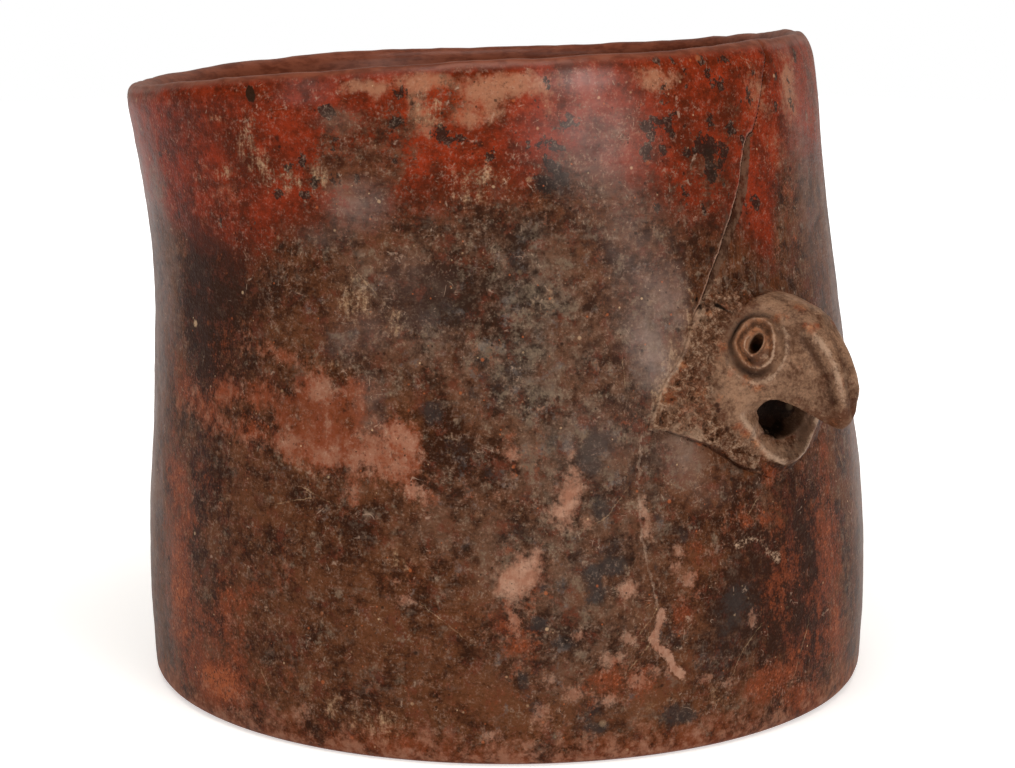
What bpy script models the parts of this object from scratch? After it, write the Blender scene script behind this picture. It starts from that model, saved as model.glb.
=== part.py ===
# A hand-built clay pot: a wide open vessel with a thin rounded lip, leaning a little to one side,
# with a parrot's head luted to its wall.
# Metres, +Z up. The origin is the centre of the underside, and the beak points along +X.

import math

import bmesh
import bpy
from mathutils import Matrix, Vector

MM = 0.001

# The wall, as it was built up before it leaned over.
RIM_HEIGHT = 148.4 * MM        # middle height of the lip
BASE_RADIUS = 87.4 * MM        # outside of the wall at the ground, before the foot is rounded
BELLY_RADIUS = 88.2 * MM
BELLY_HEIGHT = 24.0 * MM
WAIST_RADIUS = 81.6 * MM
WAIST_HEIGHT = 117.0 * MM
LIP_RADIUS = 82.0 * MM
WALL = 5.8 * MM
FLOOR = 7.0 * MM
FOOT_ROUND_OUT = 2.6 * MM      # how far the rounded foot draws in
FOOT_ROUND_UP = 3.4 * MM       # and how high it starts
COVE = 9.0 * MM                # inner corner between floor and wall

# How the soft wall moved before it dried.
RIM_LEAN = 9.8 * MM
LEAN_BEARING = math.radians(225)
LEAN_POWER = 2.6
RIM_TILT = 5.4 * MM            # the lip's high side stands this much over its middle height
TILT_BEARING = math.radians(50)
RIM_SAG = 0.6 * MM             # the lip sinks between two opposite high places
SAG_BEARING = math.radians(-15)
RIM_WAVE = 0.8 * MM            # and waves in three
WAVE_BEARING = math.radians(50)
RIM_PULL_POWER = 3

# The parrot's head. Its form is given as shares of these sizes.
HEAD_BOTTOM = 57.0 * MM        # height of its lowest point above the ground
HEAD_TALL = 41.2 * MM
HEAD_REACH = 22.0 * MM         # from the wall to the front of the beak
HEAD_WIDTH = 34.0 * MM         # where it meets the wall
HEAD_FLARE = 2.5 * MM          # clay smeared out on the wall beside it and below it
HEAD_EMBED = WALL / 2          # the head's root ends in the middle of the wall

# Its sections from the wall (0) to the front of the beak (1), as (share of the reach, share of
# the height) for the crown and the throat, and (share of the reach, share of the width).
CROWN_LINE = (
    (0.00, 0.945), (0.12, 0.968), (0.26, 0.975), (0.47, 0.940), (0.65, 0.875), (0.81, 0.780),
    (0.90, 0.700), (0.96, 0.620), (1.00, 0.520),
)
THROAT_LINE = (
    (0.00, 0.020), (0.20, 0.090), (0.33, 0.135), (0.48, 0.200), (0.62, 0.265), (0.76, 0.310),
    (0.90, 0.345), (1.00, 0.440),
)
FLANK_LINE = (
    (0.00, 1.00), (0.20, 0.84), (0.45, 0.58), (0.60, 0.41), (0.73, 0.30), (0.84, 0.24),
    (0.93, 0.20), (1.00, 0.16),
)
JAW_NARROW = 0.20              # how much narrower the head is towards the throat
BEAK_ROUND = 0.12              # share of the reach over which the front of the beak rounds off

# The gap between beak and lower jaw, seen from the side: (share of the reach, share of the height).
GAPE_LINE = (
    (0.12, 0.400), (0.19, 0.452), (0.29, 0.480), (0.40, 0.474), (0.51, 0.440), (0.63, 0.388),
    (0.76, 0.343), (0.88, 0.318), (1.25, 0.300), (1.25, -0.10), (0.42, -0.10), (0.315, 0.115),
    (0.24, 0.225), (0.16, 0.330),
)

# The scooped hollow of the mouth: its centre as shares of reach and height, and its half sizes.
MOUTH_CENTRE = (0.18, 0.350)
MOUTH_DEPTH = 7.6 * MM
MOUTH_WIDTH = 7.0 * MM
MOUTH_TALL = 5.4 * MM
MOUTH_TURN = math.radians(18)

# The eyes: two raised rings about a poked hole, taller than they are wide.
EYE_CENTRE = (0.21, 0.762)
EYE_RADIUS = 6.4 * MM
EYE_NARROW = 0.80
EYE_RELIEF = 0.9 * MM
EYE_TURN = math.radians(36)    # from facing sideways towards facing forwards
EYE_LIFT = math.radians(14)    # and upwards
EYE_HOLE_RADIUS = 1.5 * MM
EYE_HOLE_DEPTH = 4.0 * MM

# How finely the curves are divided.
TURN_STEPS = 78
WALL_STEPS = 14
ROUND_STEPS = 5
HEAD_ROUND = 40
HEAD_RINGS = 36
MERGE = 0.00005


def ease(share):
    """Runs from 0 to 1 with level ends."""
    return 0.5 - 0.5 * math.cos(math.pi * min(max(share, 0.0), 1.0))


def outer_radius(z):
    """Outside radius of the upright wall at a height."""
    if z < BELLY_HEIGHT:
        share = 1.0 - z / BELLY_HEIGHT
        return BELLY_RADIUS - (BELLY_RADIUS - BASE_RADIUS) * share ** 2
    if z < WAIST_HEIGHT:
        share = (z - BELLY_HEIGHT) / (WAIST_HEIGHT - BELLY_HEIGHT)
        return BELLY_RADIUS + (WAIST_RADIUS - BELLY_RADIUS) * ease(share)
    share = (z - WAIST_HEIGHT) / (RIM_HEIGHT - WAIST_HEIGHT)
    return WAIST_RADIUS + (LIP_RADIUS - WAIST_RADIUS) * share


def lean(z):
    """How far the wall has gone over at a height."""
    return RIM_LEAN * (max(z, 0.0) / RIM_HEIGHT) ** LEAN_POWER


def pull(point):
    """Takes a point of the upright pot to where it sits in the leaning one."""
    bearing = math.atan2(point.y, point.x)
    shift = lean(point.z)
    rise = RIM_TILT * math.cos(bearing - TILT_BEARING)
    rise += RIM_SAG * math.cos(2 * (bearing - SAG_BEARING))
    rise += RIM_WAVE * math.cos(3 * (bearing - WAVE_BEARING))
    share = (max(point.z, 0.0) / RIM_HEIGHT) ** RIM_PULL_POWER
    return Vector((
        point.x + shift * math.cos(LEAN_BEARING),
        point.y + shift * math.sin(LEAN_BEARING),
        point.z + rise * share,
    ))


def arc(centre, across, up, start, end, steps):
    """Points along a stretch of an ellipse in the turning plane."""
    points = []
    for step in range(steps + 1):
        angle = start + (end - start) * step / steps
        points.append((centre[0] + across * math.cos(angle), centre[1] + up * math.sin(angle)))
    return points


def heights(bottom, top, steps):
    return [bottom + (top - bottom) * step / steps for step in range(1, steps)]


def vessel_profile():
    """The pot's section, from the middle of the floor over the lip to the middle of the underside."""
    cove_top = FLOOR + COVE
    inner_foot = outer_radius(cove_top) - WALL
    lip_centre = RIM_HEIGHT - WALL / 2
    lip_middle = outer_radius(lip_centre) - WALL / 2
    foot_top = outer_radius(FOOT_ROUND_UP)
    points = [(0.0, FLOOR), (inner_foot * 0.5, FLOOR)]
    points += arc((inner_foot - COVE, cove_top), COVE, COVE, -math.pi / 2, 0.0, ROUND_STEPS)
    points += [(outer_radius(z) - WALL, z) for z in heights(cove_top, lip_centre, WALL_STEPS - 4)]
    points += arc((lip_middle, lip_centre), WALL / 2, WALL / 2, math.pi, 0.0, ROUND_STEPS + 1)
    points += [(outer_radius(z), z) for z in reversed(heights(FOOT_ROUND_UP, lip_centre, WALL_STEPS))]
    foot_centre = (foot_top - FOOT_ROUND_OUT, FOOT_ROUND_UP)
    points += arc(foot_centre, FOOT_ROUND_OUT, FOOT_ROUND_UP, 0.0, -math.pi / 2, ROUND_STEPS)
    points += [(0.0, 0.0)]
    return points


def core_profile():
    """A solid of the wall's middle surface, which trims the head's root."""
    levels = [RIM_HEIGHT] + list(reversed(heights(0.0, RIM_HEIGHT, WALL_STEPS))) + [0.0]
    face = [(outer_radius(z) - HEAD_EMBED, z) for z in levels]
    return [(0.0, RIM_HEIGHT)] + face + [(0.0, 0.0)]


def collection(name):
    made = bpy.data.collections.new(name)
    bpy.context.scene.collection.children.link(made)
    return made


def add_object(name, mesh, home):
    made = bpy.data.objects.new(name, mesh)
    home.objects.link(made)
    return made


def as_guide(made):
    made.hide_render = True
    made.display_type = 'WIRE'
    return made


def turned(name, points, steps, home):
    """An object turned about Z from a section, top to bottom down its outer side."""
    bm = bmesh.new()
    verts = [bm.verts.new((r, 0.0, z)) for r, z in points]
    for first, second in zip(verts, verts[1:]):
        bm.edges.new((first, second))
    mesh = bpy.data.meshes.new(name)
    bm.to_mesh(mesh)
    bm.free()
    made = add_object(name, mesh, home)
    screw = made.modifiers.new('Turn', 'SCREW')
    screw.steps = steps
    screw.render_steps = steps
    screw.use_merge_vertices = True
    screw.merge_threshold = MERGE
    return made


def settled(made, move=None):
    """Replaces an object's mesh by its evaluated one, and moves the points if a rule is given."""
    graph = bpy.context.evaluated_depsgraph_get()
    mesh = bpy.data.meshes.new_from_object(made.evaluated_get(graph))
    made.modifiers.clear()
    bm = bmesh.new()
    bm.from_mesh(mesh)
    bmesh.ops.remove_doubles(bm, verts=bm.verts, dist=MERGE)
    if move:
        for vert in bm.verts:
            vert.co = move(vert.co)
    bm.to_mesh(mesh)
    bm.free()
    made.data = mesh
    return made


def along(line, place):
    """Reads a smooth line through (place, value) pairs."""
    last = len(line) - 1
    start = 0
    while start < last - 1 and place > line[start + 1][0]:
        start += 1

    def slope(i):
        before = line[max(i - 1, 0)]
        after = line[min(i + 1, last)]
        return (after[1] - before[1]) / (after[0] - before[0])

    (low, first), (high, second) = line[start], line[start + 1]
    span = high - low
    t = min(max((place - low) / span, 0.0), 1.0)
    value = (2 * t ** 3 - 3 * t ** 2 + 1) * first + (3 * t ** 2 - 2 * t ** 3) * second
    value += (t ** 3 - 2 * t ** 2 + t) * span * slope(start)
    return value + (t ** 3 - t ** 2) * span * slope(start + 1)


def head_section(share):
    """Middle height, half height and half width of the head at a share of its reach."""
    crown = HEAD_TALL * along(CROWN_LINE, share)
    throat = HEAD_TALL * along(THROAT_LINE, share)
    closing = 1.0
    if share > 1.0 - BEAK_ROUND:
        closing = math.sqrt(max(1.0 - ((share - 1.0 + BEAK_ROUND) / BEAK_ROUND) ** 2, 0.0))
    flare = HEAD_FLARE * max(1.0 - share / 0.25, 0.0) ** 2
    half_width = HEAD_WIDTH / 2 * along(FLANK_LINE, share)
    middle = (crown + throat - flare) / 2
    half_height = (crown - throat + flare) / 2 * closing
    return middle, half_height, half_width * closing + flare


def head_point(direction):
    """Takes a point of a ball to the head, counted from the wall's face and the head's lowest point."""
    around = math.atan2(direction.z, direction.y)
    if direction.x > 0:
        share = direction.x
        x = HEAD_REACH * share
        closing = 1.0
    else:
        share = 0.0
        x = (WALL + HEAD_WIDTH / 6) * direction.x
        closing = math.sqrt(max(1.0 - direction.x ** 6, 0.0))
    middle, half_height, half_width = head_section(share)
    half_width *= 1.0 - JAW_NARROW * max(-math.sin(around), 0.0)
    y = half_width * closing * math.cos(around)
    z = middle + half_height * closing * math.sin(around)
    return Vector((x, y, z))


def wall_face():
    """Place of the wall's outside at the middle of the head's root."""
    z = HEAD_BOTTOM + HEAD_TALL / 2
    return outer_radius(z) + lean(z) * math.cos(LEAN_BEARING)


def at_head(reach, side, height):
    """A place on the head, from shares of its reach and height and a real distance to the side."""
    return Vector((wall_face() + HEAD_REACH * reach, side, HEAD_BOTTOM + HEAD_TALL * height))


def ball(name, home, across=24, rings=14):
    mesh = bpy.data.meshes.new(name)
    bm = bmesh.new()
    bmesh.ops.create_uvsphere(bm, u_segments=across, v_segments=rings, radius=1.0)
    bm.to_mesh(mesh)
    bm.free()
    mesh.shade_smooth()
    return add_object(name, mesh, home)


def reshape(made, move):
    for vert in made.data.vertices:
        vert.co = move(vert.co.copy())


def combine(target, tool, operation):
    step = target.modifiers.new(tool.name, 'BOOLEAN')
    step.operation = operation
    step.object = tool
    return step


def make_head(guides):
    head = ball('head_form', guides, HEAD_ROUND, HEAD_RINGS)
    origin = at_head(0.0, 0.0, 0.0)
    reshape(head, lambda point: origin + head_point(Vector((point.z, point.y, -point.x))))
    core = turned('wall_core', core_profile(), TURN_STEPS, guides)
    as_guide(settled(core, pull))
    combine(head, core, 'DIFFERENCE')
    return as_guide(head)


def make_gape(guides):
    """A flat outline drawn in the side view, as wide as the head."""
    curve = bpy.data.curves.new('gape', 'CURVE')
    curve.dimensions = '2D'
    curve.fill_mode = 'BOTH'
    curve.extrude = HEAD_WIDTH
    spline = curve.splines.new('POLY')
    spline.points.add(len(GAPE_LINE) - 1)
    for point, (reach, height) in zip(spline.points, GAPE_LINE):
        point.co = (HEAD_REACH * reach, HEAD_TALL * height, 0.0, 1.0)
    spline.use_cyclic_u = True
    drawn = add_object('gape_outline', curve, guides)
    graph = bpy.context.evaluated_depsgraph_get()
    mesh = bpy.data.meshes.new_from_object(drawn.evaluated_get(graph))
    bm = bmesh.new()
    bm.from_mesh(mesh)
    bmesh.ops.remove_doubles(bm, verts=bm.verts, dist=MERGE)
    bmesh.ops.recalc_face_normals(bm, faces=bm.faces)
    bm.to_mesh(mesh)
    bm.free()
    bpy.data.objects.remove(drawn)
    gape = add_object('gape', mesh, guides)
    gape.matrix_world = Matrix.Translation(at_head(0.0, 0.0, 0.0)) @ Matrix.Rotation(math.pi / 2, 4, 'X')
    return as_guide(gape)


def make_mouth(guides):
    mouth = ball('mouth_hollow', guides)
    reshape(mouth, lambda point: Vector((
        point.x * MOUTH_DEPTH, point.y * MOUTH_WIDTH, point.z * MOUTH_TALL)))
    centre = at_head(MOUTH_CENTRE[0], 0.0, MOUTH_CENTRE[1])
    mouth.matrix_world = Matrix.Translation(centre) @ Matrix.Rotation(MOUTH_TURN, 4, 'Y')
    return as_guide(mouth)


def eye_frame(side):
    """Where an eye sits: its own Z points out of the head's flank."""
    middle, half_height, half_width = head_section(EYE_CENTRE[0])
    rise = (HEAD_TALL * EYE_CENTRE[1] - middle) / half_height
    centre = at_head(EYE_CENTRE[0], side * half_width * math.sqrt(1.0 - rise ** 2), EYE_CENTRE[1])
    level = Vector((math.sin(EYE_TURN), side * math.cos(EYE_TURN), 0.0))
    outward = level * math.cos(EYE_LIFT) + Vector((0.0, 0.0, math.sin(EYE_LIFT)))
    across = Vector((0.0, 0.0, 1.0)).cross(level)
    upward = outward.cross(across)
    turn = Matrix((across, upward, outward)).transposed().to_4x4()
    return Matrix.Translation(centre) @ turn


def make_eye(name, side, guides):
    """Two raised rings on a low round pad."""
    profile = (
        (0.00, 0.35), (0.28, 0.40), (0.40, 1.00), (0.50, 1.00), (0.60, 0.35), (0.70, 0.35),
        (0.80, 1.10), (0.90, 1.10), (1.00, 0.00), (1.00, -1.50), (0.00, -1.50),
    )
    points = [(EYE_RADIUS * r, EYE_RELIEF * z) for r, z in profile]
    eye = settled(turned(name, points, 24, guides))
    reshape(eye, lambda point: Vector((point.x * EYE_NARROW, point.y, point.z)))
    eye.matrix_world = eye_frame(side)
    return as_guide(eye)


def make_eye_hole(name, side, guides):
    hole = ball(name, guides, 12, 8)
    reshape(hole, lambda point: Vector((
        point.x * EYE_HOLE_RADIUS, point.y * EYE_HOLE_RADIUS * 1.4, point.z * EYE_HOLE_DEPTH)))
    hole.matrix_world = eye_frame(side)
    return as_guide(hole)


def clay_material():
    clay = bpy.data.materials.new('burnished_clay')
    clay.use_nodes = True
    shader = clay.node_tree.nodes['Principled BSDF']
    shader.inputs['Base Color'].default_value = (0.105, 0.040, 0.024, 1.0)
    shader.inputs['Roughness'].default_value = 0.42
    shader.inputs['Metallic'].default_value = 0.0
    return clay


def build():
    for old in list(bpy.data.objects):
        bpy.data.objects.remove(old, do_unlink=True)
    parts = collection('parrot_pot')
    guides = collection('guides')

    pot = settled(turned('pot', vessel_profile(), TURN_STEPS, parts), pull)
    pot.data.materials.append(clay_material())

    combine(pot, make_head(guides), 'UNION')
    for name, side in (('eye_left', 1), ('eye_right', -1)):
        combine(pot, make_eye(name, side, guides), 'UNION')
        combine(pot, make_eye_hole(name + '_hole', side, guides), 'DIFFERENCE')
    combine(pot, make_gape(guides), 'DIFFERENCE')
    combine(pot, make_mouth(guides), 'DIFFERENCE')

    pot.data.shade_smooth()
    pot.data.set_sharp_from_angle(angle=math.radians(40))


build()
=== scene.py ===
import math

import bmesh
import bpy
import numpy as np
from mathutils import Matrix, Vector, noise


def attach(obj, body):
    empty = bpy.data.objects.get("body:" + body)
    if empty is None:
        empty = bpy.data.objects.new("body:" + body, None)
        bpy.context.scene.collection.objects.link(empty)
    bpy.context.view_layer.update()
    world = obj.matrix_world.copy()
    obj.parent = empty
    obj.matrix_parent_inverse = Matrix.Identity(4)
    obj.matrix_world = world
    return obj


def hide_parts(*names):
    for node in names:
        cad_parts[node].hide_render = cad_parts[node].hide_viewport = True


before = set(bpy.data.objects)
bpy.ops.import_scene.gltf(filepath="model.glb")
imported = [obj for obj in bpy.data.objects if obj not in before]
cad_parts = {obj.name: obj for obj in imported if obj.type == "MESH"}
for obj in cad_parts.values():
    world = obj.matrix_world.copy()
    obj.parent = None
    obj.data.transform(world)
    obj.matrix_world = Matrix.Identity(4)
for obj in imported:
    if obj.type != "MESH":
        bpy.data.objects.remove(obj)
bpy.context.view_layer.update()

# Everything is worked out in millimetres and made metres at the end.
# "Bearing" is degrees round the pot from the side that faces the camera, to the right seen from there.
mm = 0.001
frontAzimuth = -45.0
arcPerDegree = 1.49
farOff = 60.0  # further than any mark reaches

camera = {
    "place": (0.37335, -0.37335, 0.1587), "tilt": 80.24, "turn": 45.0, "lens": 76.76,
}

potShape = {
    "rimHeight": 148.4, "baseRadius": 87.4, "bellyRadius": 88.2, "bellyHeight": 24.0,
    "waistRadius": 81.6, "waistHeight": 117.0, "lipRadius": 82.0, "wall": 5.8, "floor": 7.0,
    "footOut": 2.6, "footUp": 3.4, "cove": 9.0,
    "lean": 9.8, "leanAzimuth": 225.0, "leanPower": 2.6,
    "tilt": 5.4, "tiltAzimuth": 50.0, "sag": 0.6, "sagAzimuth": -15.0, "wave": 0.8, "waveAzimuth": 50.0,
}


def outerRadius(z):
    p = potShape
    belly = p["bellyRadius"] - (p["bellyRadius"] - p["baseRadius"]) * (1 - z / p["bellyHeight"]) ** 2
    share = np.clip((z - p["bellyHeight"]) / (p["waistHeight"] - p["bellyHeight"]), 0, 1)
    side = p["bellyRadius"] + (p["waistRadius"] - p["bellyRadius"]) * (0.5 - 0.5 * np.cos(np.pi * share))
    share = (z - p["waistHeight"]) / (p["rimHeight"] - p["waistHeight"])
    neck = p["waistRadius"] + (p["lipRadius"] - p["waistRadius"]) * share
    return np.where(z < p["bellyHeight"], belly, np.where(z < p["waistHeight"], side, neck))


def leaned(points):  # from the upright pot to the one that went over while it was soft
    p = potShape
    x, y, z = points.T
    azimuth = np.arctan2(y, x)
    share = np.maximum(z, 0) / p["rimHeight"]
    shift = p["lean"] * share ** p["leanPower"]
    rise = p["tilt"] * np.cos(azimuth - math.radians(p["tiltAzimuth"]))
    rise += p["sag"] * np.cos(2 * (azimuth - math.radians(p["sagAzimuth"])))
    rise += p["wave"] * np.cos(3 * (azimuth - math.radians(p["waveAzimuth"])))
    towards = math.radians(p["leanAzimuth"])
    return np.stack((x + shift * math.cos(towards), y + shift * math.sin(towards), z + rise * share ** 3), 1)


def upright(points):  # the way back, near enough for the wall's relief and paint
    guess = points.copy()
    for _ in range(4):
        guess += points - leaned(guess)
    return guess


def wrapped(degrees):
    return (degrees + 180.0) % 360.0 - 180.0


def bearingOf(points):
    return wrapped(np.degrees(np.arctan2(points[:, 1], points[:, 0])) - frontAzimuth)


def newObject(name, mesh):
    made = bpy.data.objects.new(name, mesh)
    bpy.context.scene.collection.objects.link(made)
    return made


def meshFrom(bm, name):
    mesh = bpy.data.meshes.new(name)
    bm.to_mesh(mesh)
    bm.free()
    return mesh


def spun(name, rows, steps):  # turns a profile of (radius, height) rows into a closed shell
    bm = bmesh.new()
    verts = [bm.verts.new((r, 0.0, z)) for r, z in rows]
    edges = [bm.edges.new(pair) for pair in zip(verts, verts[1:])]
    bmesh.ops.spin(bm, geom=verts + edges, cent=(0, 0, 0), axis=(0, 0, 1), dvec=(0, 0, 0),
                   angle=2 * math.pi, steps=steps, use_merge=True, use_duplicate=False)
    bmesh.ops.remove_doubles(bm, verts=bm.verts, dist=0.0005)
    bmesh.ops.recalc_face_normals(bm, faces=bm.faces)
    return meshFrom(bm, name)


def layFields(mesh, fields):  # one value for each vertex, which the materials read by name
    for name, values in fields.items():
        layer = mesh.attributes.new(name, "FLOAT", "POINT")
        layer.data.foreach_set("value", np.ascontiguousarray(values, np.float32))


def countOf(made):
    triangles = sum(len(face.vertices) - 2 for face in made.data.polygons)
    return f"{len(made.data.vertices)} vertices, {triangles} triangles"


def coordsOf(mesh):
    flat = np.empty(len(mesh.vertices) * 3)
    mesh.vertices.foreach_get("co", flat)
    return flat.reshape(-1, 3)


def setCoords(mesh, points):
    mesh.vertices.foreach_set("co", np.ascontiguousarray(points, np.float32).ravel())
    mesh.update()


def normalsOf(mesh):
    flat = np.empty(len(mesh.vertices) * 3, np.float32)
    mesh.vertex_normals.foreach_get("vector", flat)
    return flat.reshape(-1, 3).astype(float)


def applied(made):  # bakes an object's modifiers into its mesh
    graph = bpy.context.evaluated_depsgraph_get()
    mesh = bpy.data.meshes.new_from_object(made.evaluated_get(graph))
    made.modifiers.clear()
    made.data = mesh
    return mesh


def cloudNoise(points, size, seed, octaves=3):
    shift = Vector((seed * 17.3, seed * 5.1, seed * 9.7))
    return np.array([noise.fractal(Vector(p) / size + shift, 1.0, 2.0, octaves) for p in points])


# painting: where things are on the wall, as (bearing, height)

def ovalLevel(b, z, spot):  # millimetres inside an oval's edge, negative outside
    middle, height, across, tall = spot[:4]
    turn = math.radians(spot[4]) if len(spot) > 4 else 0.0
    u = wrapped(b - middle) * arcPerDegree
    v = z - height
    along = u * math.cos(turn) + v * math.sin(turn)
    aside = v * math.cos(turn) - u * math.sin(turn)
    return (1 - np.hypot(along / across, aside / tall)) * min(across, tall)


def ovals(b, z, spots):
    level = np.full(len(b), -farOff / 2)
    for spot in spots:
        level = np.maximum(level, ovalLevel(b, z, spot))
    return level


def clouds(b, z, spots):  # soft weights: (bearing, height, half width, half height, weight)
    total = np.zeros(len(b))
    for middle, height, across, tall, weight in spots:
        reach = np.hypot(wrapped(b - middle) * arcPerDegree / across, (z - height) / tall)
        total += weight * np.clip(1 - reach ** 2, 0, 1) ** 2
    return total


def besideLine(b, z, line):  # signed distance to a line, positive on its right going down
    best = np.full(len(b), farOff)
    signed = np.full(len(b), farOff)
    for (b0, z0), (b1, z1) in zip(line, line[1:]):
        du, dv = (b1 - b0) * arcPerDegree, z1 - z0
        u, v = wrapped(b - b0) * arcPerDegree, z - z0
        share = np.clip((u * du + v * dv) / (du * du + dv * dv), 0, 1)
        gap = np.hypot(u - share * du, v - share * dv)
        side = np.where(u * dv - v * du > 0, -1.0, 1.0)
        nearer = gap < best
        best = np.where(nearer, gap, best)
        signed = np.where(nearer, gap * side, signed)
    return signed


def insideLoop(b, z, loop):  # millimetres inside a closed outline
    closed = list(loop) + [loop[0]]
    gap = np.abs(besideLine(b, z, closed))
    inside = np.zeros(len(b), bool)
    for (b0, z0), (b1, z1) in zip(closed, closed[1:]):
        if z0 == z1:
            continue
        crosses = (z0 > z) != (z1 > z)
        at = b0 + (z - z0) / (z1 - z0) * (b1 - b0)
        inside ^= crosses & (b < at)
    return np.where(inside, gap, -gap)


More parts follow.
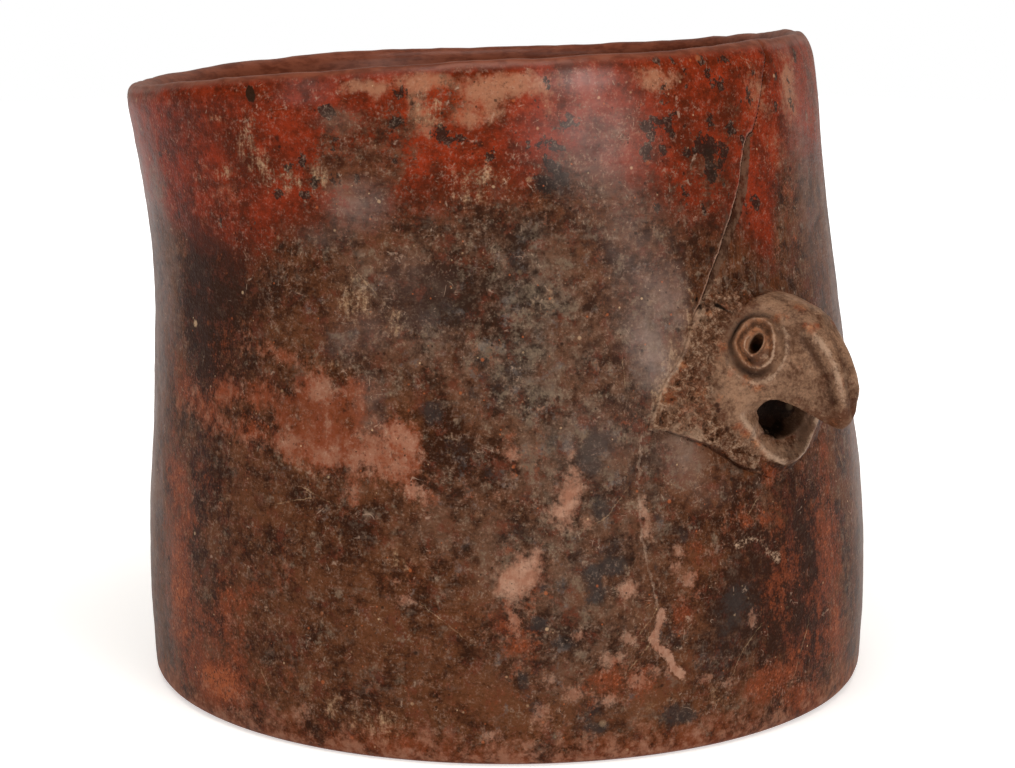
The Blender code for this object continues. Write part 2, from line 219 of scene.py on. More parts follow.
paintMap = {
    "slipEdge": (
        (-180, 113), (-150, 116), (-120, 112), (-95, 115), (-75, 116), (-57, 115), (-50, 110), (-44, 107.5),
        (-36, 110), (-30, 115), (-24, 118), (-17, 121), (-9, 119.5), (-3, 122), (3, 123.5), (7, 122),
        (10, 126), (14, 129), (18, 126), (26, 120), (30, 116.5), (33, 115.5), (38, 114), (41, 113.5),
        (44, 110), (46, 105), (49, 104), (51, 114), (55, 124), (60, 126), (75, 121), (95, 116), (120, 113),
        (150, 116), (180, 113),
    ),
    "blots": (
        (-28.4, 128.0, 2.0, 0.8), (-26.2, 129.1, 1.0, 1.2), (-20.8, 139.6, 1.8, 1.3), (-10.6, 136.8, 2.2, 1.0),
        (-9.4, 142.7, 1.6, 1.4), (-31.7, 122.0, 1.1, 1.0), (-26.7, 121.6, 1.0, 1.3), (-24.8, 125.0, 1.5, 1.3),
        (-37.4, 119.5, 0.5, 0.6), (-30.4, 119.4, 0.6, 0.7), (-44.3, 116.5, 0.6, 0.9), (-11.1, 129.1, 1.5, 0.7),
        (-20.6, 133.5, 0.7, 1.5), (-21.4, 125.8, 0.8, 1.0), (-17.6, 125.7, 0.7, 0.6), (-37.0, 114.8, 0.8, 1.0),
        (-4.1, 134.2, 2.1, 1.8, 30), (-1.2, 132.7, 2.0, 0.9, -20), (2.5, 129.7, 1.3, 1.1),
        (-1.9, 130.8, 0.6, 0.5), (14.9, 136.7, 0.8, 0.8), (13.9, 135.0, 2.5, 0.9), (10.5, 131.5, 1.6, 1.0),
        (12.0, 130.2, 2.2, 0.6), (10.5, 127.1, 1.2, 2.0), (9.6, 123.4, 2.2, 2.0), (12.3, 124.5, 1.8, 2.0),
        (26.3, 133.8, 1.7, 1.6), (28.9, 134.4, 3.6, 1.2), (30.5, 132.5, 1.1, 1.5), (27.1, 132.1, 1.4, 1.4),
        (26.1, 128.4, 1.7, 1.8), (28.7, 128.6, 1.4, 1.3), (18.4, 132.6, 0.5, 0.4), (30.3, 141.1, 0.7, 0.7),
        (34.5, 140.8, 0.6, 0.6), (30.4, 138.7, 1.1, 0.9), (31.7, 136.0, 0.8, 0.8), (31.9, 119.1, 0.7, 1.2),
        (27.1, 117.2, 0.9, 0.9), (10.4, 140.2, 0.5, 0.9), (12.3, 143.1, 0.3, 1.6), (29.6, 146.4, 1.4, 0.4),
        (34.3, 143.8, 1.3, 0.6), (33.2, 146.3, 1.2, 0.7), (38.2, 133.4, 1.0, 1.5), (35.7, 129.1, 1.5, 2.3),
        (33.6, 127.7, 2.3, 1.4), (37.2, 128.2, 2.4, 2.6), (37.3, 123.2, 1.6, 2.2), (40.4, 127.0, 1.4, 1.9),
        (44.7, 129.2, 0.9, 1.3), (56.2, 141.1, 0.9, 1.4), (49.0, 142.2, 0.7, 1.2), (47.5, 137.5, 0.6, 1.1),
        (54.6, 135.3, 0.8, 1.2), (60.3, 135.4, 1.1, 1.9), (40.7, 140.4, 1.8, 1.0), (38.9, 142.9, 0.9, 1.1),
        (38.1, 145.8, 1.0, 1.3), (42.9, 146.0, 1.8, 0.9), (44.6, 136.0, 1.7, 0.5), (42.2, 131.7, 1.6, 1.3),
        (46.7, 115.9, 2.0, 1.3, -40), (44.3, 114.3, 0.7, 1.2), (35.3, 116.2, 0.5, 0.7), (40.4, 118.1, 0.6, 0.6),
        (39.8, 121.3, 0.5, 0.6), (54.7, 144.2, 0.9, 0.7), (59.9, 139.1, 0.6, 1.3), (64.5, 144.8, 1.2, 1.9),
        (39.4, 124.6, 0.9, 1.4), (-33.4, 135.2, 0.9, 0.4), (6.0, 133.0, 0.5, 0.4), (7.6, 131.0, 0.9, 0.7),
        (21.0, 122.5, 0.7, 0.5), (-60, 131, 1.4, 1.0), (-82, 126, 2.2, 1.6), (-101, 136, 1.6, 2.2),
        (-96, 122, 3.0, 1.6), (-124, 130, 2.4, 2.8), (-127, 127, 1.8, 1.4), (-143, 138, 2.0, 1.3),
        (-160, 124, 2.6, 2.0), (-171, 133, 1.2, 1.8), (168, 128, 3.0, 2.2), (164, 131, 1.6, 2.6),
        (149, 137, 1.2, 1.2), (137, 124, 2.0, 2.4), (121, 131, 2.8, 1.6), (118, 134, 1.4, 2.0),
        (104, 139, 1.3, 1.0), (93, 127, 1.9, 2.4), (82, 133, 1.2, 1.8), (74, 139, 1.0, 1.5),
    ),
    "slipGone": (  # where the red has worn thin
        (-34.1, 128.2, 9, 8, 0.55), (-28.9, 125.5, 6, 6, 0.5), (-35.4, 134.9, 3, 6, 0.4),
        (-41.3, 127.4, 7, 4, 0.35), (-23.9, 126.7, 6, 6, 0.5), (-33.3, 138.4, 3, 3, 0.3),
        (-17.5, 124.0, 15, 12, 0.80), (-16.5, 133.0, 18, 14, 0.42), (-21.0, 131.0, 10, 10, 0.30),
        (-19.5, 138.0, 8, 5, 0.45), (-10.0, 133.0, 12, 16, 0.55), (-3.0, 141.0, 10, 9, 0.45),
        (13.0, 127.0, 9, 7, 0.5), (0.4, 125.1, 7, 5, 0.5), (20.0, 135.0, 14, 11, 0.22),
        (-66.0, 122.0, 14, 18, 0.6), (66.0, 132.0, 14, 20, 0.35), (37.0, 123.0, 14, 14, 0.62),
        (42.0, 136.0, 12, 10, 0.35), (27.0, 122.0, 10, 8, 0.45), (57.0, 122.0, 12, 9, 0.4),
        (-120, 125, 30, 10, 0.4), (-165, 130, 22, 12, 0.45), (140, 128, 26, 12, 0.4), (100, 124, 18, 9, 0.45),
    ),
    "tanSlip": (  # the slip rubbed to orange and tan
        (-7.0, 139.0, 5.0, 8.0, 1.0), (-6.0, 145.0, 10.0, 3.0, 0.9), (-1.0, 137.0, 5.0, 4.0, 0.6),
        (12.0, 138.0, 4.0, 5.0, 0.5), (-12.0, 143.0, 5.0, 3.0, 0.6), (6.0, 143.6, 20.0, 4.2, 1.1),
        (29.0, 143.0, 10.0, 4.6, 0.9), (-15.0, 144.6, 9.0, 2.4, 0.8), (60.0, 138.0, 9.0, 12.0, 0.9),
        (2.0, 139.0, 9.0, 6.0, 0.7), (50.0, 137.0, 9.0, 12.0, 0.6), (54.0, 126.0, 7.0, 10.0, 0.7),
        (30.0, 126.0, 6.0, 4.0, 0.3), (-42.0, 122.0, 8.0, 6.0, 0.4), (-30.0, 114.0, 8.0, 5.0, 0.4),
        (-110, 134, 18, 8, 0.6), (160, 134, 20, 8, 0.6), (100, 132, 12, 10, 0.6),
    ),
    "filmAndSheen": (  # lilac-brown dust film, partly painted reflection: the grey-lilac sheen down both side edges, on the upper front and beside the head
        (-18.1, 120.0, 12, 8, 0.85), (-19.6, 138.0, 9, 4, 0.35), (20.0, 128.0, 17, 26, 0.55),
        (29.0, 92.0, 4, 9, 0.8), (26.5, 66.0, 8, 9, 0.5), (-24.0, 113.0, 10, 4, 0.5),
        (24.0, 106.0, 15, 18, 0.3), (23.3, 86.5, 8, 10, 0.95), (28.0, 99.0, 6, 9, 0.7), (27.0, 63.0, 9, 8, 0.3),
        (61, 132, 8, 16, 0.7), (60, 147, 9, 4, 0.9), (-60, 147, 9, 4, 0.9), (-76, 75, 22, 130, 1.2),
        (78, 80, 20, 130, 1.1), (-63, 112, 9, 50, 0.6), (-63, 20, 9, 34, 0.6), (63, 120, 8, 40, 0.3),
        (31.0, 57.0, 9, 6, 0.3), (20.5, 92.0, 8, 9, 0.45), (24.0, 99.0, 6, 9, 0.5), (-23.6, 89.5, 5, 4, 0.6),
        (-18.0, 93.0, 8, 7, 0.4), (-18.5, 77.5, 6, 10, 0.5), (-10.7, 93.5, 9, 7, 0.35),
        (-12.0, 104.0, 14, 9, 0.3), (16.0, 70.0, 16, 12, 0.25), (-150, 90, 30, 18, 0.45),
        (120, 80, 24, 16, 0.4),
    ),
    "tone": (  # lighter and darker broad areas of the brown body; the darkening low on the right, about bearing 35 to 55, is partly painted shade
        (-46, 98, 18, 24, -0.55), (-51, 96, 13, 34, -1.1), (-10, 100, 12, 10, -0.4), (0, 64, 8, 8, -0.5),
        (30, 30, 8, 12, -0.4), (-51, 54, 9, 24, -0.45), (0, 101, 24, 10, -0.6), (11, 114, 10, 8, -0.35),
        (26, 86, 10, 8, 0.45), (42, 36, 22, 26, -0.6), (51, 28, 12, 24, -1.1), (40, 26, 9, 14, -0.4),
        (20, 14, 8, 7, 0.5), (62, 8, 10, 12, 0.5), (62, 130, 9, 11, 0.7), (-40, 66, 8, 7, 0.5),
        (0, 12, 16, 10, 0.3), (28, 70, 9, 9, 0.5), (-12, 15, 10, 8, 0.4), (62, 20, 8, 20, 0.4),
        (-20, 30, 10, 12, 0.35), (-50, 99, 20, 22, -1.2), (-47, 81, 12, 8, -0.9), (-36, 100, 16, 12, -0.45),
        (46, 30, 18, 28, -0.7), (50, 46, 14, 14, -0.6), (50, 26, 16, 24, -0.75), (47, 52, 10, 14, -0.35),
        (-48, 66, 9, 18, -0.35), (-10, 100, 16, 8, -0.45), (14, 13, 20, 10, 0.35), (-4, 12, 20, 9, 0.35),
        (-18, 32, 12, 9, 0.3), (-30, 146, 16, 5, -0.5), (-44, 142, 14, 8, -0.5), (38, 126, 14, 18, -0.9),
        (44, 140, 10, 10, -0.5), (-44, 132, 16, 12, -0.4), (10, 136, 8, 5, -0.4), (-38, 128, 14, 14, -0.3),
        (-46, 79, 10, 6, -0.6), (-44, 104, 12, 10, -0.3), (28, 64, 9, 12, 0.6), (4, 72, 8, 9, 0.6),
        (-16, 50, 8, 7, 0.5), (26, 12, 16, 9, 0.5), (30, 68, 8, 10, 0.6), (26, 92, 8, 14, 0.6),
        (-8, 102, 24, 12, -0.3), (2, 82, 14, 14, 0.3), (2, 16, 18, 12, 0.35), (-20, 108, 8, 6, 0.5),
        (20, 106, 8, 14, -0.4), (0, 120, 12, 6, -0.4), (-45, 30, 22, 26, -0.35), (-30, 95, 12, 8, 0.15),
        (-10, 100, 20, 9, 0.35), (4, 113, 12, 6, -0.75), (10, 106, 16, 8, 0.2), (-12, 84, 16, 10, 0.1),
        (-6, 66, 14, 12, -0.35), (-22, 52, 16, 8, -0.3), (-10, 54, 14, 8, 0.35), (-25, 40, 18, 10, -0.1),
        (-8, 40, 12, 12, -0.1), (-14, 24, 18, 12, 0.2), (-30, 12, 18, 9, 0.2), (14, 60, 20, 16, 0.25),
        (6, 26, 16, 12, -0.15), (35, 32, 11, 14, -0.9), (32, 24, 9, 12, -0.6), (40, 56, 13, 8, -0.6),
        (50, 52, 12, 12, -0.4), (44, 20, 12, 8, -0.2), (54, 106, 10, 16, -0.2), (60, 90, 10, 22, -0.3),
        (44, 70, 8, 20, -0.3), (36, 46, 8, 10, -0.3), (34, 108, 9, 9, -0.5), (28, 110, 9, 8, -0.35),
        (-100, 60, 40, 26, -0.4), (-150, 50, 30, 30, 0.3), (150, 60, 34, 26, -0.5), (100, 40, 26, 22, 0.3),
        (80, 80, 22, 24, -0.35),
    ),
    "warm": (  # rust and orange breaking through
        (-62, 62, 9, 12, 0.3), (-41, 62, 8, 8, 0.5), (50, 56, 8, 9, 0.5), (40, 65, 6, 6, 0.5),
        (62, 15, 10, 14, 0.6), (50, 5, 12, 7, 0.7), (-62, 40, 14, 50, 0.55), (-64, 90, 12, 24, 0.35),
        (48, 30, 24, 34, 0.22), (38, 50, 12, 9, 0.30), (-14, 14, 36, 14, 0.35), (-40, 30, 26, 30, 0.22),
        (56, 84, 10, 40, 0.35), (-2, 50, 26, 30, 0.15), (-44, 12, 22, 12, 0.6), (-16, 4, 34, 6, 0.5),
        (-43, 108, 9, 8, 0.5), (-46, 88, 14, 10, 0.4), (-52, 52, 12, 16, 0.5), (-46, 24, 12, 12, 0.5),
        (-58, 75, 9, 6, 0.7), (-52, 73, 12, 10, 0.7), (-42, 78, 18, 8, 0.75), (-55, 22, 14, 24, 0.5),
        (-44, 30, 10, 10, 0.45), (-47, 9, 12, 8, 0.8), (-38, 38, 16, 20, 0.2), (-15, 42, 12, 9, 0.4),
        (2, 30, 12, 22, 0.45), (16, 18, 14, 10, 0.8), (31.4, 42.9, 7, 6, 0.55), (28, 37, 7, 6, 0.35),
        (25, 31, 6, 7, 0.95), (27, 46, 5, 5, 0.5), (36, 50, 10, 5, 0.5), (43, 48, 9, 7, 0.35),
        (46, 32, 12, 18, 0.15), (41, 12, 14, 7, 0.9), (-38, 69, 10, 5, 0.9), (-58, 26, 14, 34, 0.5),
        (-50, 8, 20, 9, 0.5), (58, 36, 10, 40, 0.35), (-58, 80, 10, 10, 0.4), (48, 12, 14, 12, 0.5),
        (56, 34, 12, 40, 0.6), (46, 40, 8, 8, 0.4), (42, 32, 9, 10, 0.35), (56, 116, 8, 12, 0.55),
        (50, 106, 5, 12, 0.75), (60, 70, 8, 20, 0.4), (10, 60, 12, 8, 0.2), (3, 68, 8, 6, 0.45),
        (19, 74, 8, 5, 0.4), (-5, 86, 14, 8, 0.2), (-58, 50, 10, 16, 0.35), (42, 58, 6, 4, 0.9),
        (-110, 30, 30, 20, 0.5), (-140, 80, 24, 14, 0.6), (170, 30, 34, 18, 0.5), (130, 90, 22, 12, 0.6),
        (90, 20, 28, 16, 0.7), (75, 60, 20, 22, 0.5),
    ),
    "cool": (  # blue-black fire clouds, as separate soft patches
        (12, 46, 12, 14, 0.40), (14, 68, 10, 12, 0.55), (18, 60, 5, 8, 0.5), (4, 24, 8, 14, 0.35),
        (10, 12, 14, 8, 0.35), (24, 26, 7, 10, 0.4), (36, 30, 9, 12, 0.45), (0, 84, 12, 10, 0.35),
        (-8, 96, 10, 8, 0.35), (4, 106, 12, 8, 0.4), (26, 60, 5, 6, 0.4), (-16, 30, 8, 6, 0.25),
        (48, 60, 4, 12, 0.3), (12.0, 41.6, 3.5, 3.5, 1.0), (14.8, 43.2, 5.5, 3.0, 1.0),
        (12.4, 38.1, 4.5, 3.4, 0.95), (7.4, 39.3, 3.0, 3.4, 0.8), (4.9, 39.5, 2.0, 1.8, 1.0),
        (4.3, 31.8, 3.0, 2.6, 1.0), (7.8, 27.2, 4.0, 2.2, 0.85), (13.8, 55.2, 3.6, 4.6, 1.0),
        (11.9, 36.5, 3.5, 2.5, 0.7), (2.3, 19.2, 2.2, 2.8, 0.7), (3.9, 13.3, 2.0, 3.2, 0.8),
        (12.4, 7.8, 4.6, 3.4, 0.95), (23.8, 9.6, 5.5, 5.0, 0.85), (27.1, 8.4, 5.0, 4.0, 0.85),
        (21.4, 42.2, 1.6, 3.0, 0.9), (22.1, 52.8, 2.4, 2.4, 0.9), (26.0, 48.4, 2.6, 2.8, 0.7),
        (1.6, 51.0, 5.0, 5.0, 0.4), (-1.6, 55.6, 4.0, 3.0, 0.5), (-2.1, 58.1, 4.0, 4.0, 0.3),
        (7.0, 70.4, 4.6, 4.6, 0.75), (-1.2, 64.0, 4.0, 4.0, 0.6), (14.2, 69.6, 5.0, 3.6, 0.65),
        (13.9, 89.6, 3.4, 4.6, 0.5), (6.5, 98.7, 2.8, 5.0, 0.5), (-3.4, 80.2, 3.0, 3.0, 0.5),
        (12.2, 66.0, 4.0, 5.0, 0.8), (3.5, 59.7, 4.0, 3.5, 0.5), (10.4, 76.1, 3.0, 3.0, 0.4),
        (9.6, 123.4, 5.0, 5.0, 0.5), (12.3, 124.0, 4.0, 5.0, 0.5), (-9.8, 76.0, 4.0, 5.0, 0.8),
        (-6.0, 68.0, 4.0, 5.0, 0.5), (32, 24, 8, 12, 0.55), (34, 33, 6, 7, 0.5), (28, 19, 5, 5, 0.5),
        (-4, 93, 6, 5, 0.3), (-130, 40, 12, 9, 0.7), (-100, 90, 10, 8, 0.5), (-165, 70, 14, 10, 0.6),
        (155, 40, 10, 12, 0.8), (125, 60, 12, 8, 0.6), (100, 70, 9, 9, 0.6), (-75, 40, 8, 10, 0.4),
        (80, 30, 8, 10, 0.5),
    ),
    "pink": (  # patches where the surface has come off to the pale clay
        (9.0, 57.8, 2.1, 4.6, -14), (8.0, 55.0, 2.2, 2.6), (10.1, 63.4, 0.9, 1.8),
        (2.3, 42.0, 4.4, 3.4, 35), (0.8, 40.0, 3.0, 3.2), (4.2, 44.6, 2.0, 2.4),
        (17.1, 38.3, 0.7, 0.6),
        (-110, 50, 3.0, 5.0, 20), (-152, 30, 4.0, 3.0), (160, 80, 3.4, 4.4, -30), (135, 36, 5.0, 3.6),
        (110, 96, 2.6, 3.4), (88, 52, 3.0, 2.2), (-88, 70, 3.2, 2.4),
    ),
    "pinkSoft": (
        (13.9, 23.0, 1.7, 1.8), (15.8, 24.2, 1.3, 1.0), (18.4, 18.4, 2.4, 1.8),
        (21.2, 19.8, 1.9, 1.0), (10.3, 28.6, 1.8, 1.2), (16.9, 27.7, 1.3, 1.4), (24.8, 45.6, 1.0, 1.5),
        (24.7, 42.1, 1.2, 1.4), (-2.1, 7.1, 2.0, 1.5), (33.1, 14.2, 2.0, 1.0), (5.9, 19.0, 1.2, 1.0),
        (20.0, 54.5, 0.5, 2.2), (20.4, 51.0, 0.8, 2.2), (-0.9, 59.0, 0.9, 0.8), (1.0, 67.5, 1.2, 1.6),
        (5.9, 76.8, 0.6, 0.6), (-12.9, 60.3, 1.2, 1.4), (-11.3, 60.0, 1.1, 1.6), (-30, 8.5, 1.2, 1.6),
        (1.3, 32.7, 1.2, 2.6), (4.5, 11.5, 1.8, 2.4), (9.0, 16.0, 2.0, 1.4), (14.0, 14.0, 2.4, 1.6),
        (17.1, 38.3, 1.9, 1.6), (29.0, 16.5, 1.4, 0.9), (26.4, 38.5, 1.2, 1.6), (37.5, 28.0, 1.2, 1.6),
        (-14.0, 36.0, 1.6, 0.6), (-12.5, 35.6, 0.9, 0.7), (-44.0, 25.0, 0.8, 1.6), (11.6, 53.0, 0.7, 0.7),
    ),
    "wornPatch": (  # the long salmon wear mark on the left
        (-28.0, 74.5, 7.5, 7.5), (-25.5, 69.0, 8.0, 7.0), (-32.5, 67.8, 6.5, 3.4), (-39.6, 68.2, 6.0, 2.6, -12),
        (-45.5, 69.0, 6.0, 1.3, -6), (-51.5, 70.2, 6.0, 1.0, -4), (-21.5, 67.0, 6.5, 4.5),
        (-22.5, 75.0, 4.0, 6.5), (-22.0, 59.4, 0.7, 2.6), (-13.1, 59.0, 1.4, 1.4), (-10.8, 59.6, 1.4, 2.2),
        (-27.0, 80.0, 3.0, 3.6), (-33.0, 74.0, 4.5, 5.0), (-37.0, 77.0, 5.0, 2.6), (-33.5, 86.6, 3.6, 0.9, -10),
        (-37.3, 86.9, 2.2, 0.7), (-40.8, 88.6, 0.7, 1.6), (-54.0, 75.0, 2.5, 3.0), (-45.0, 76.5, 3.0, 2.4),
        (-21.0, 81.0, 3.0, 2.0),
    ),
    "patchLight": (
        (-40.5, 67.0, 4.6, 2.4, 1.3), (-33.0, 67.4, 4.0, 2.6, 0.9), (-26.8, 64.6, 4.6, 3.0, 0.9),
        (-25.0, 67.0, 4.0, 3.0, 0.5), (-19.3, 65.6, 4.0, 3.4, 0.8), (-14.9, 70.8, 4.2, 3.6, 1.0),
        (-12.7, 69.0, 2.4, 4.6, 0.8), (-14.4, 64.5, 3.4, 2.6, 0.8), (-27.4, 79.6, 3.0, 4.4, 0.8),
        (-22.0, 58.9, 0.9, 3.4, 1.0), (-13.1, 58.9, 1.6, 1.4, 1.0), (-46.5, 69.7, 4.0, 1.6, 0.7),
        (-31.0, 75.5, 9.0, 4.0, -1.1), (-22.5, 76.0, 6.0, 5.0, -1.0), (-36.4, 69.2, 2.4, 2.0, -1.0),
        (-22.8, 72.7, 3.6, 3.0, -1.0), (-30.4, 72.0, 5.0, 3.0, -0.7), (-17.6, 75.0, 2.0, 2.0, -0.5),
    ),
    "lobe": (  # its crisp right end
        (-16.7, 74.0), (-14.9, 75.2), (-13.2, 73.0), (-11.5, 72.1), (-10.9, 68.3), (-11.3, 64.9), (-11.9, 62.8),
        (-13.1, 60.4), (-14.6, 60.9), (-16.3, 62.5), (-19.7, 62.2), (-21.8, 63.6), (-21.0, 67.2), (-18.4, 70.0),
        (-17.4, 72.6),
    ),
    "paleRub": (  # light rubs over the red and the brown
        (29.2, 93.0, 2.2, 7.0, -20), (26.8, 86.5, 2.0, 4.0, -25), (24.6, 80.5, 1.6, 3.0, -25),
        (-34.1, 128.2, 6.0, 3.6, -30), (-28.6, 125.2, 2.2, 3.0), (-35.4, 134.9, 1.2, 4.0),
        (-33.3, 138.4, 1.2, 1.4), (-41.3, 127.4, 4.0, 1.8), (-48.2, 126.2, 1.6, 1.6), (-23.9, 126.7, 2.0, 3.6),
        (-42.0, 139.0, 2.0, 3.0), (0.4, 125.1, 4.0, 2.2), (-1.4, 121.1, 3.0, 2.0), (8.5, 121.0, 1.4, 0.7),
        (-6.0, 139.0, 3.0, 3.0), (-20.0, 100.0, 3.0, 5.0), (-14.0, 95.0, 4.0, 3.0), (-24.0, 86.0, 2.0, 1.2),
        (7.0, 99.0, 1.6, 2.0), (-26.0, 9.0, 1.6, 2.4), (-24.0, 11.0, 1.6, 2.2), (-29.5, 13.0, 1.2, 1.2),
        (-15.0, 43.5, 2.0, 2.6), (-7.0, 70.0, 2.0, 3.0), (5.0, 77.0, 1.6, 2.2), (3.0, 73.0, 1.8, 1.4),
        (-18.0, 8.0, 4.0, 3.0), (-140, 126, 5, 3), (-90, 100, 4, 5), (150, 122, 5, 4), (110, 126, 4, 3),
        (-170, 100, 5, 4),
    ),
    "gloss": (  # where the burnish still shines
        (18, 133, 22, 17, 0.80), (24, 104, 13, 24, 0.35), (24, 86.5, 9, 12, 0.80), (10, 132, 12, 12, 0.3),
        (27, 98, 7, 9, 0.4), (-24, 144, 11, 4, 0.9), (16, 144, 16, 4.5, 0.9), (64, 120, 16, 40, 0.25),
        (-70, 110, 14, 50, 0.15), (-80, 50, 14, 70, 0.15), (76, 50, 12, 70, 0.2), (-18, 119, 10, 8, 0.5),
        (-22, 92, 10, 9, 0.25), (-120, 120, 30, 24, 0.4), (170, 110, 40, 30, 0.4), (120, 70, 24, 40, 0.25),
        (-130, 50, 30, 30, 0.25),
    ),
    "ashen": (  # where the brown is greyer
        (-10, 54, 14, 14, 0.35), (0, 46, 14, 18, 0.3), (26, 92, 9, 22, 0.35), (0, 84, 14, 22, 0.25),
        (-20, 104, 10, 10, 0.35), (-2, 98, 36, 28, 0.70), (8, 84, 18, 34, 0.50), (10, 60, 34, 32, 0.55),
        (10, 30, 28, 26, 0.45), (22, 92, 14, 34, 0.45), (34, 120, 18, 14, 0.6), (10, 104, 14, 12, 0.15),
        (20, 74, 14, 14, 0.3), (4, 112, 14, 10, 0.4), (28, 68, 9, 12, 0.5), (-14, 88, 16, 12, 0.25),
        (34, 26, 12, 14, 0.3), (-24, 114, 14, 7, 0.35), (-120, 70, 40, 30, 0.5), (150, 80, 40, 30, 0.5),
        (100, 100, 30, 20, 0.4),
    ),
    "clean": ((-70, 70, 22, 110, 0.9), (64, 100, 12, 50, 0.5)),
    "streaky": ((40, 104, 14, 16, 1.0), (32, 100, 8, 10, 0.5), (48, 96, 12, 14, 0.6), (57, 90, 8, 40, 0.6)),
    "upperCrack": (
        (54.3, 152.0), (54.2, 145.5), (52.9, 142.8), (51.9, 140.1), (50.6, 136.6), (49.4, 133.8), (47.6, 130.7),
        (46.2, 129.9), (45.1, 127.3), (44.2, 124.1), (43.6, 120.9), (42.3, 117.3), (40.8, 113.7), (39.1, 110.2),
        (37.5, 106.2), (35.7, 102.6), (33.9, 98.7), (32.0, 95.0), (31.0, 92.0),
    ),
    "fill": (  # the old mend beside it: (height, width)
        (90, 0.0), (100, 1.2), (106, 2.2), (112, 2.6), (116, 3.0), (121, 2.6), (126, 2.2), (130, 1.0),
        (131.5, 0.0),
    ),
    "lowerCrack": (
        (20.6, 70.5), (19.9, 66.0), (19.5, 61.1), (19.5, 56.9), (19.5, 52.7), (19.6, 48.4), (20.1, 44.5),
        (20.6, 40.6), (21.1, 37.1), (21.5, 33.8), (22.2, 32.3), (21.6, 29.2),
    ),
    "channel": (
        (22.2, 32.3), (21.6, 29.2), (20.7, 27.1), (21.4, 24.8), (23.0, 23.2), (23.8, 20.4), (25.2, 17.8),
    ),
    "branches": (
        ((21.2, 33.2), (20.4, 31.1), (18.1, 27.5)), ((20.4, 26.3), (18.7, 23.5), (17.2, 20.8)),
        ((38.9, 25.3), (36.0, 21.6), (34.9, 19.1), (34.0, 16.2)), ((37.9, 51.3), (39.5, 53.6)),
        ((-30.1, 58.5), (-25.7, 55.9)), ((-34.7, 54.0), (-28.0, 56.6)), ((-11.1, 34.8), (-6.2, 29.1)),
        ((18.0, 60.0), (14.5, 54.0), (12.0, 52.0)), ((-20.0, 106.0), (-17.0, 101.0)),
        ((18.6, 82.0), (18.5, 86.0)), ((-38.0, 16.0), (-36.4, 12.0)), ((50.0, 22.0), (47.0, 12.0)),
        ((70.0, 40.0), (62.0, 62.0)), ((-70.0, 60.0), (-64.0, 44.0)), ((160.0, 60.0), (168.0, 40.0)),
        ((-140.0, 90.0), (-128.0, 80.0)), ((120.0, 30.0), (128.0, 50.0)),
    ),
    # painted shade in small holes in the crack
    "smallHoleShade": ((32.2, 97.9, 0.55, 1.3, -20), (32.6, 96.0, 0.4, 0.6), (36.2, 95.4, 1.7, 0.5, -30)),
    # painted shade on the wall seen through the parrot's mouth
    "mouth": ((43.0, 69.5, 8.0, 8.0, 1.0), (46.0, 70.5, 12.0, 10.0, 1.2)),
    "jawCrack": (
        (24.2, 71.2), (26.6, 69.6), (28.3, 68.6), (30.2, 67.6), (32.0, 66.0), (34.0, 64.2), (35.5, 62.4),
        (36.9, 61.2), (38.6, 60.5), (40.4, 60.3),
    ),
    "plateEdge": (
        (37.0, 101.5), (34.0, 97.9), (32.4, 95.8), (30.9, 93.4), (29.4, 89.6), (28.4, 86.6), (27.0, 84.4),
        (25.4, 82.0), (24.4, 80.0), (23.3, 77.5), (22.4, 74.6), (21.4, 71.3), (22.6, 71.3), (24.2, 71.0),
    ),
    "scuffs": (
        ((35.0, 44.7), (37.2, 45.8), (38.9, 44.9), (41.1, 42.2), (43.1, 39.9)),
        ((31.7, 14.1), (34.2, 14.8), (37.3, 14.8), (39.3, 14.7)), ((43.5, 15.2), (46.0, 12.5)),
    ),
    "flangeEdge": (
        (36.5, 100.5), (34.0, 97.9), (32.4, 95.8), (30.9, 93.4), (29.4, 89.6), (28.4, 86.6), (27.0, 84.4),
        (25.4, 82.0), (24.4, 80.0), (23.3, 77.5), (22.4, 74.6), (21.4, 71.3), (22.6, 71.3), (24.2, 71.0),
        (26.0, 69.9), (27.6, 69.2), (29.3, 67.8), (30.6, 67.1), (32.7, 66.0), (33.8, 64.9), (34.9, 63.3),
        (36.6, 61.4), (38.4, 60.2), (41.5, 58.4), (46.0, 57.0), (51.0, 57.6), (55.5, 60.0), (59.5, 64.0),
        (62.8, 70.0), (64.2, 78.0), (63.4, 87.0), (60.0, 95.0), (55.0, 100.0), (49.0, 102.5), (42.0, 102.5),
    ),
}


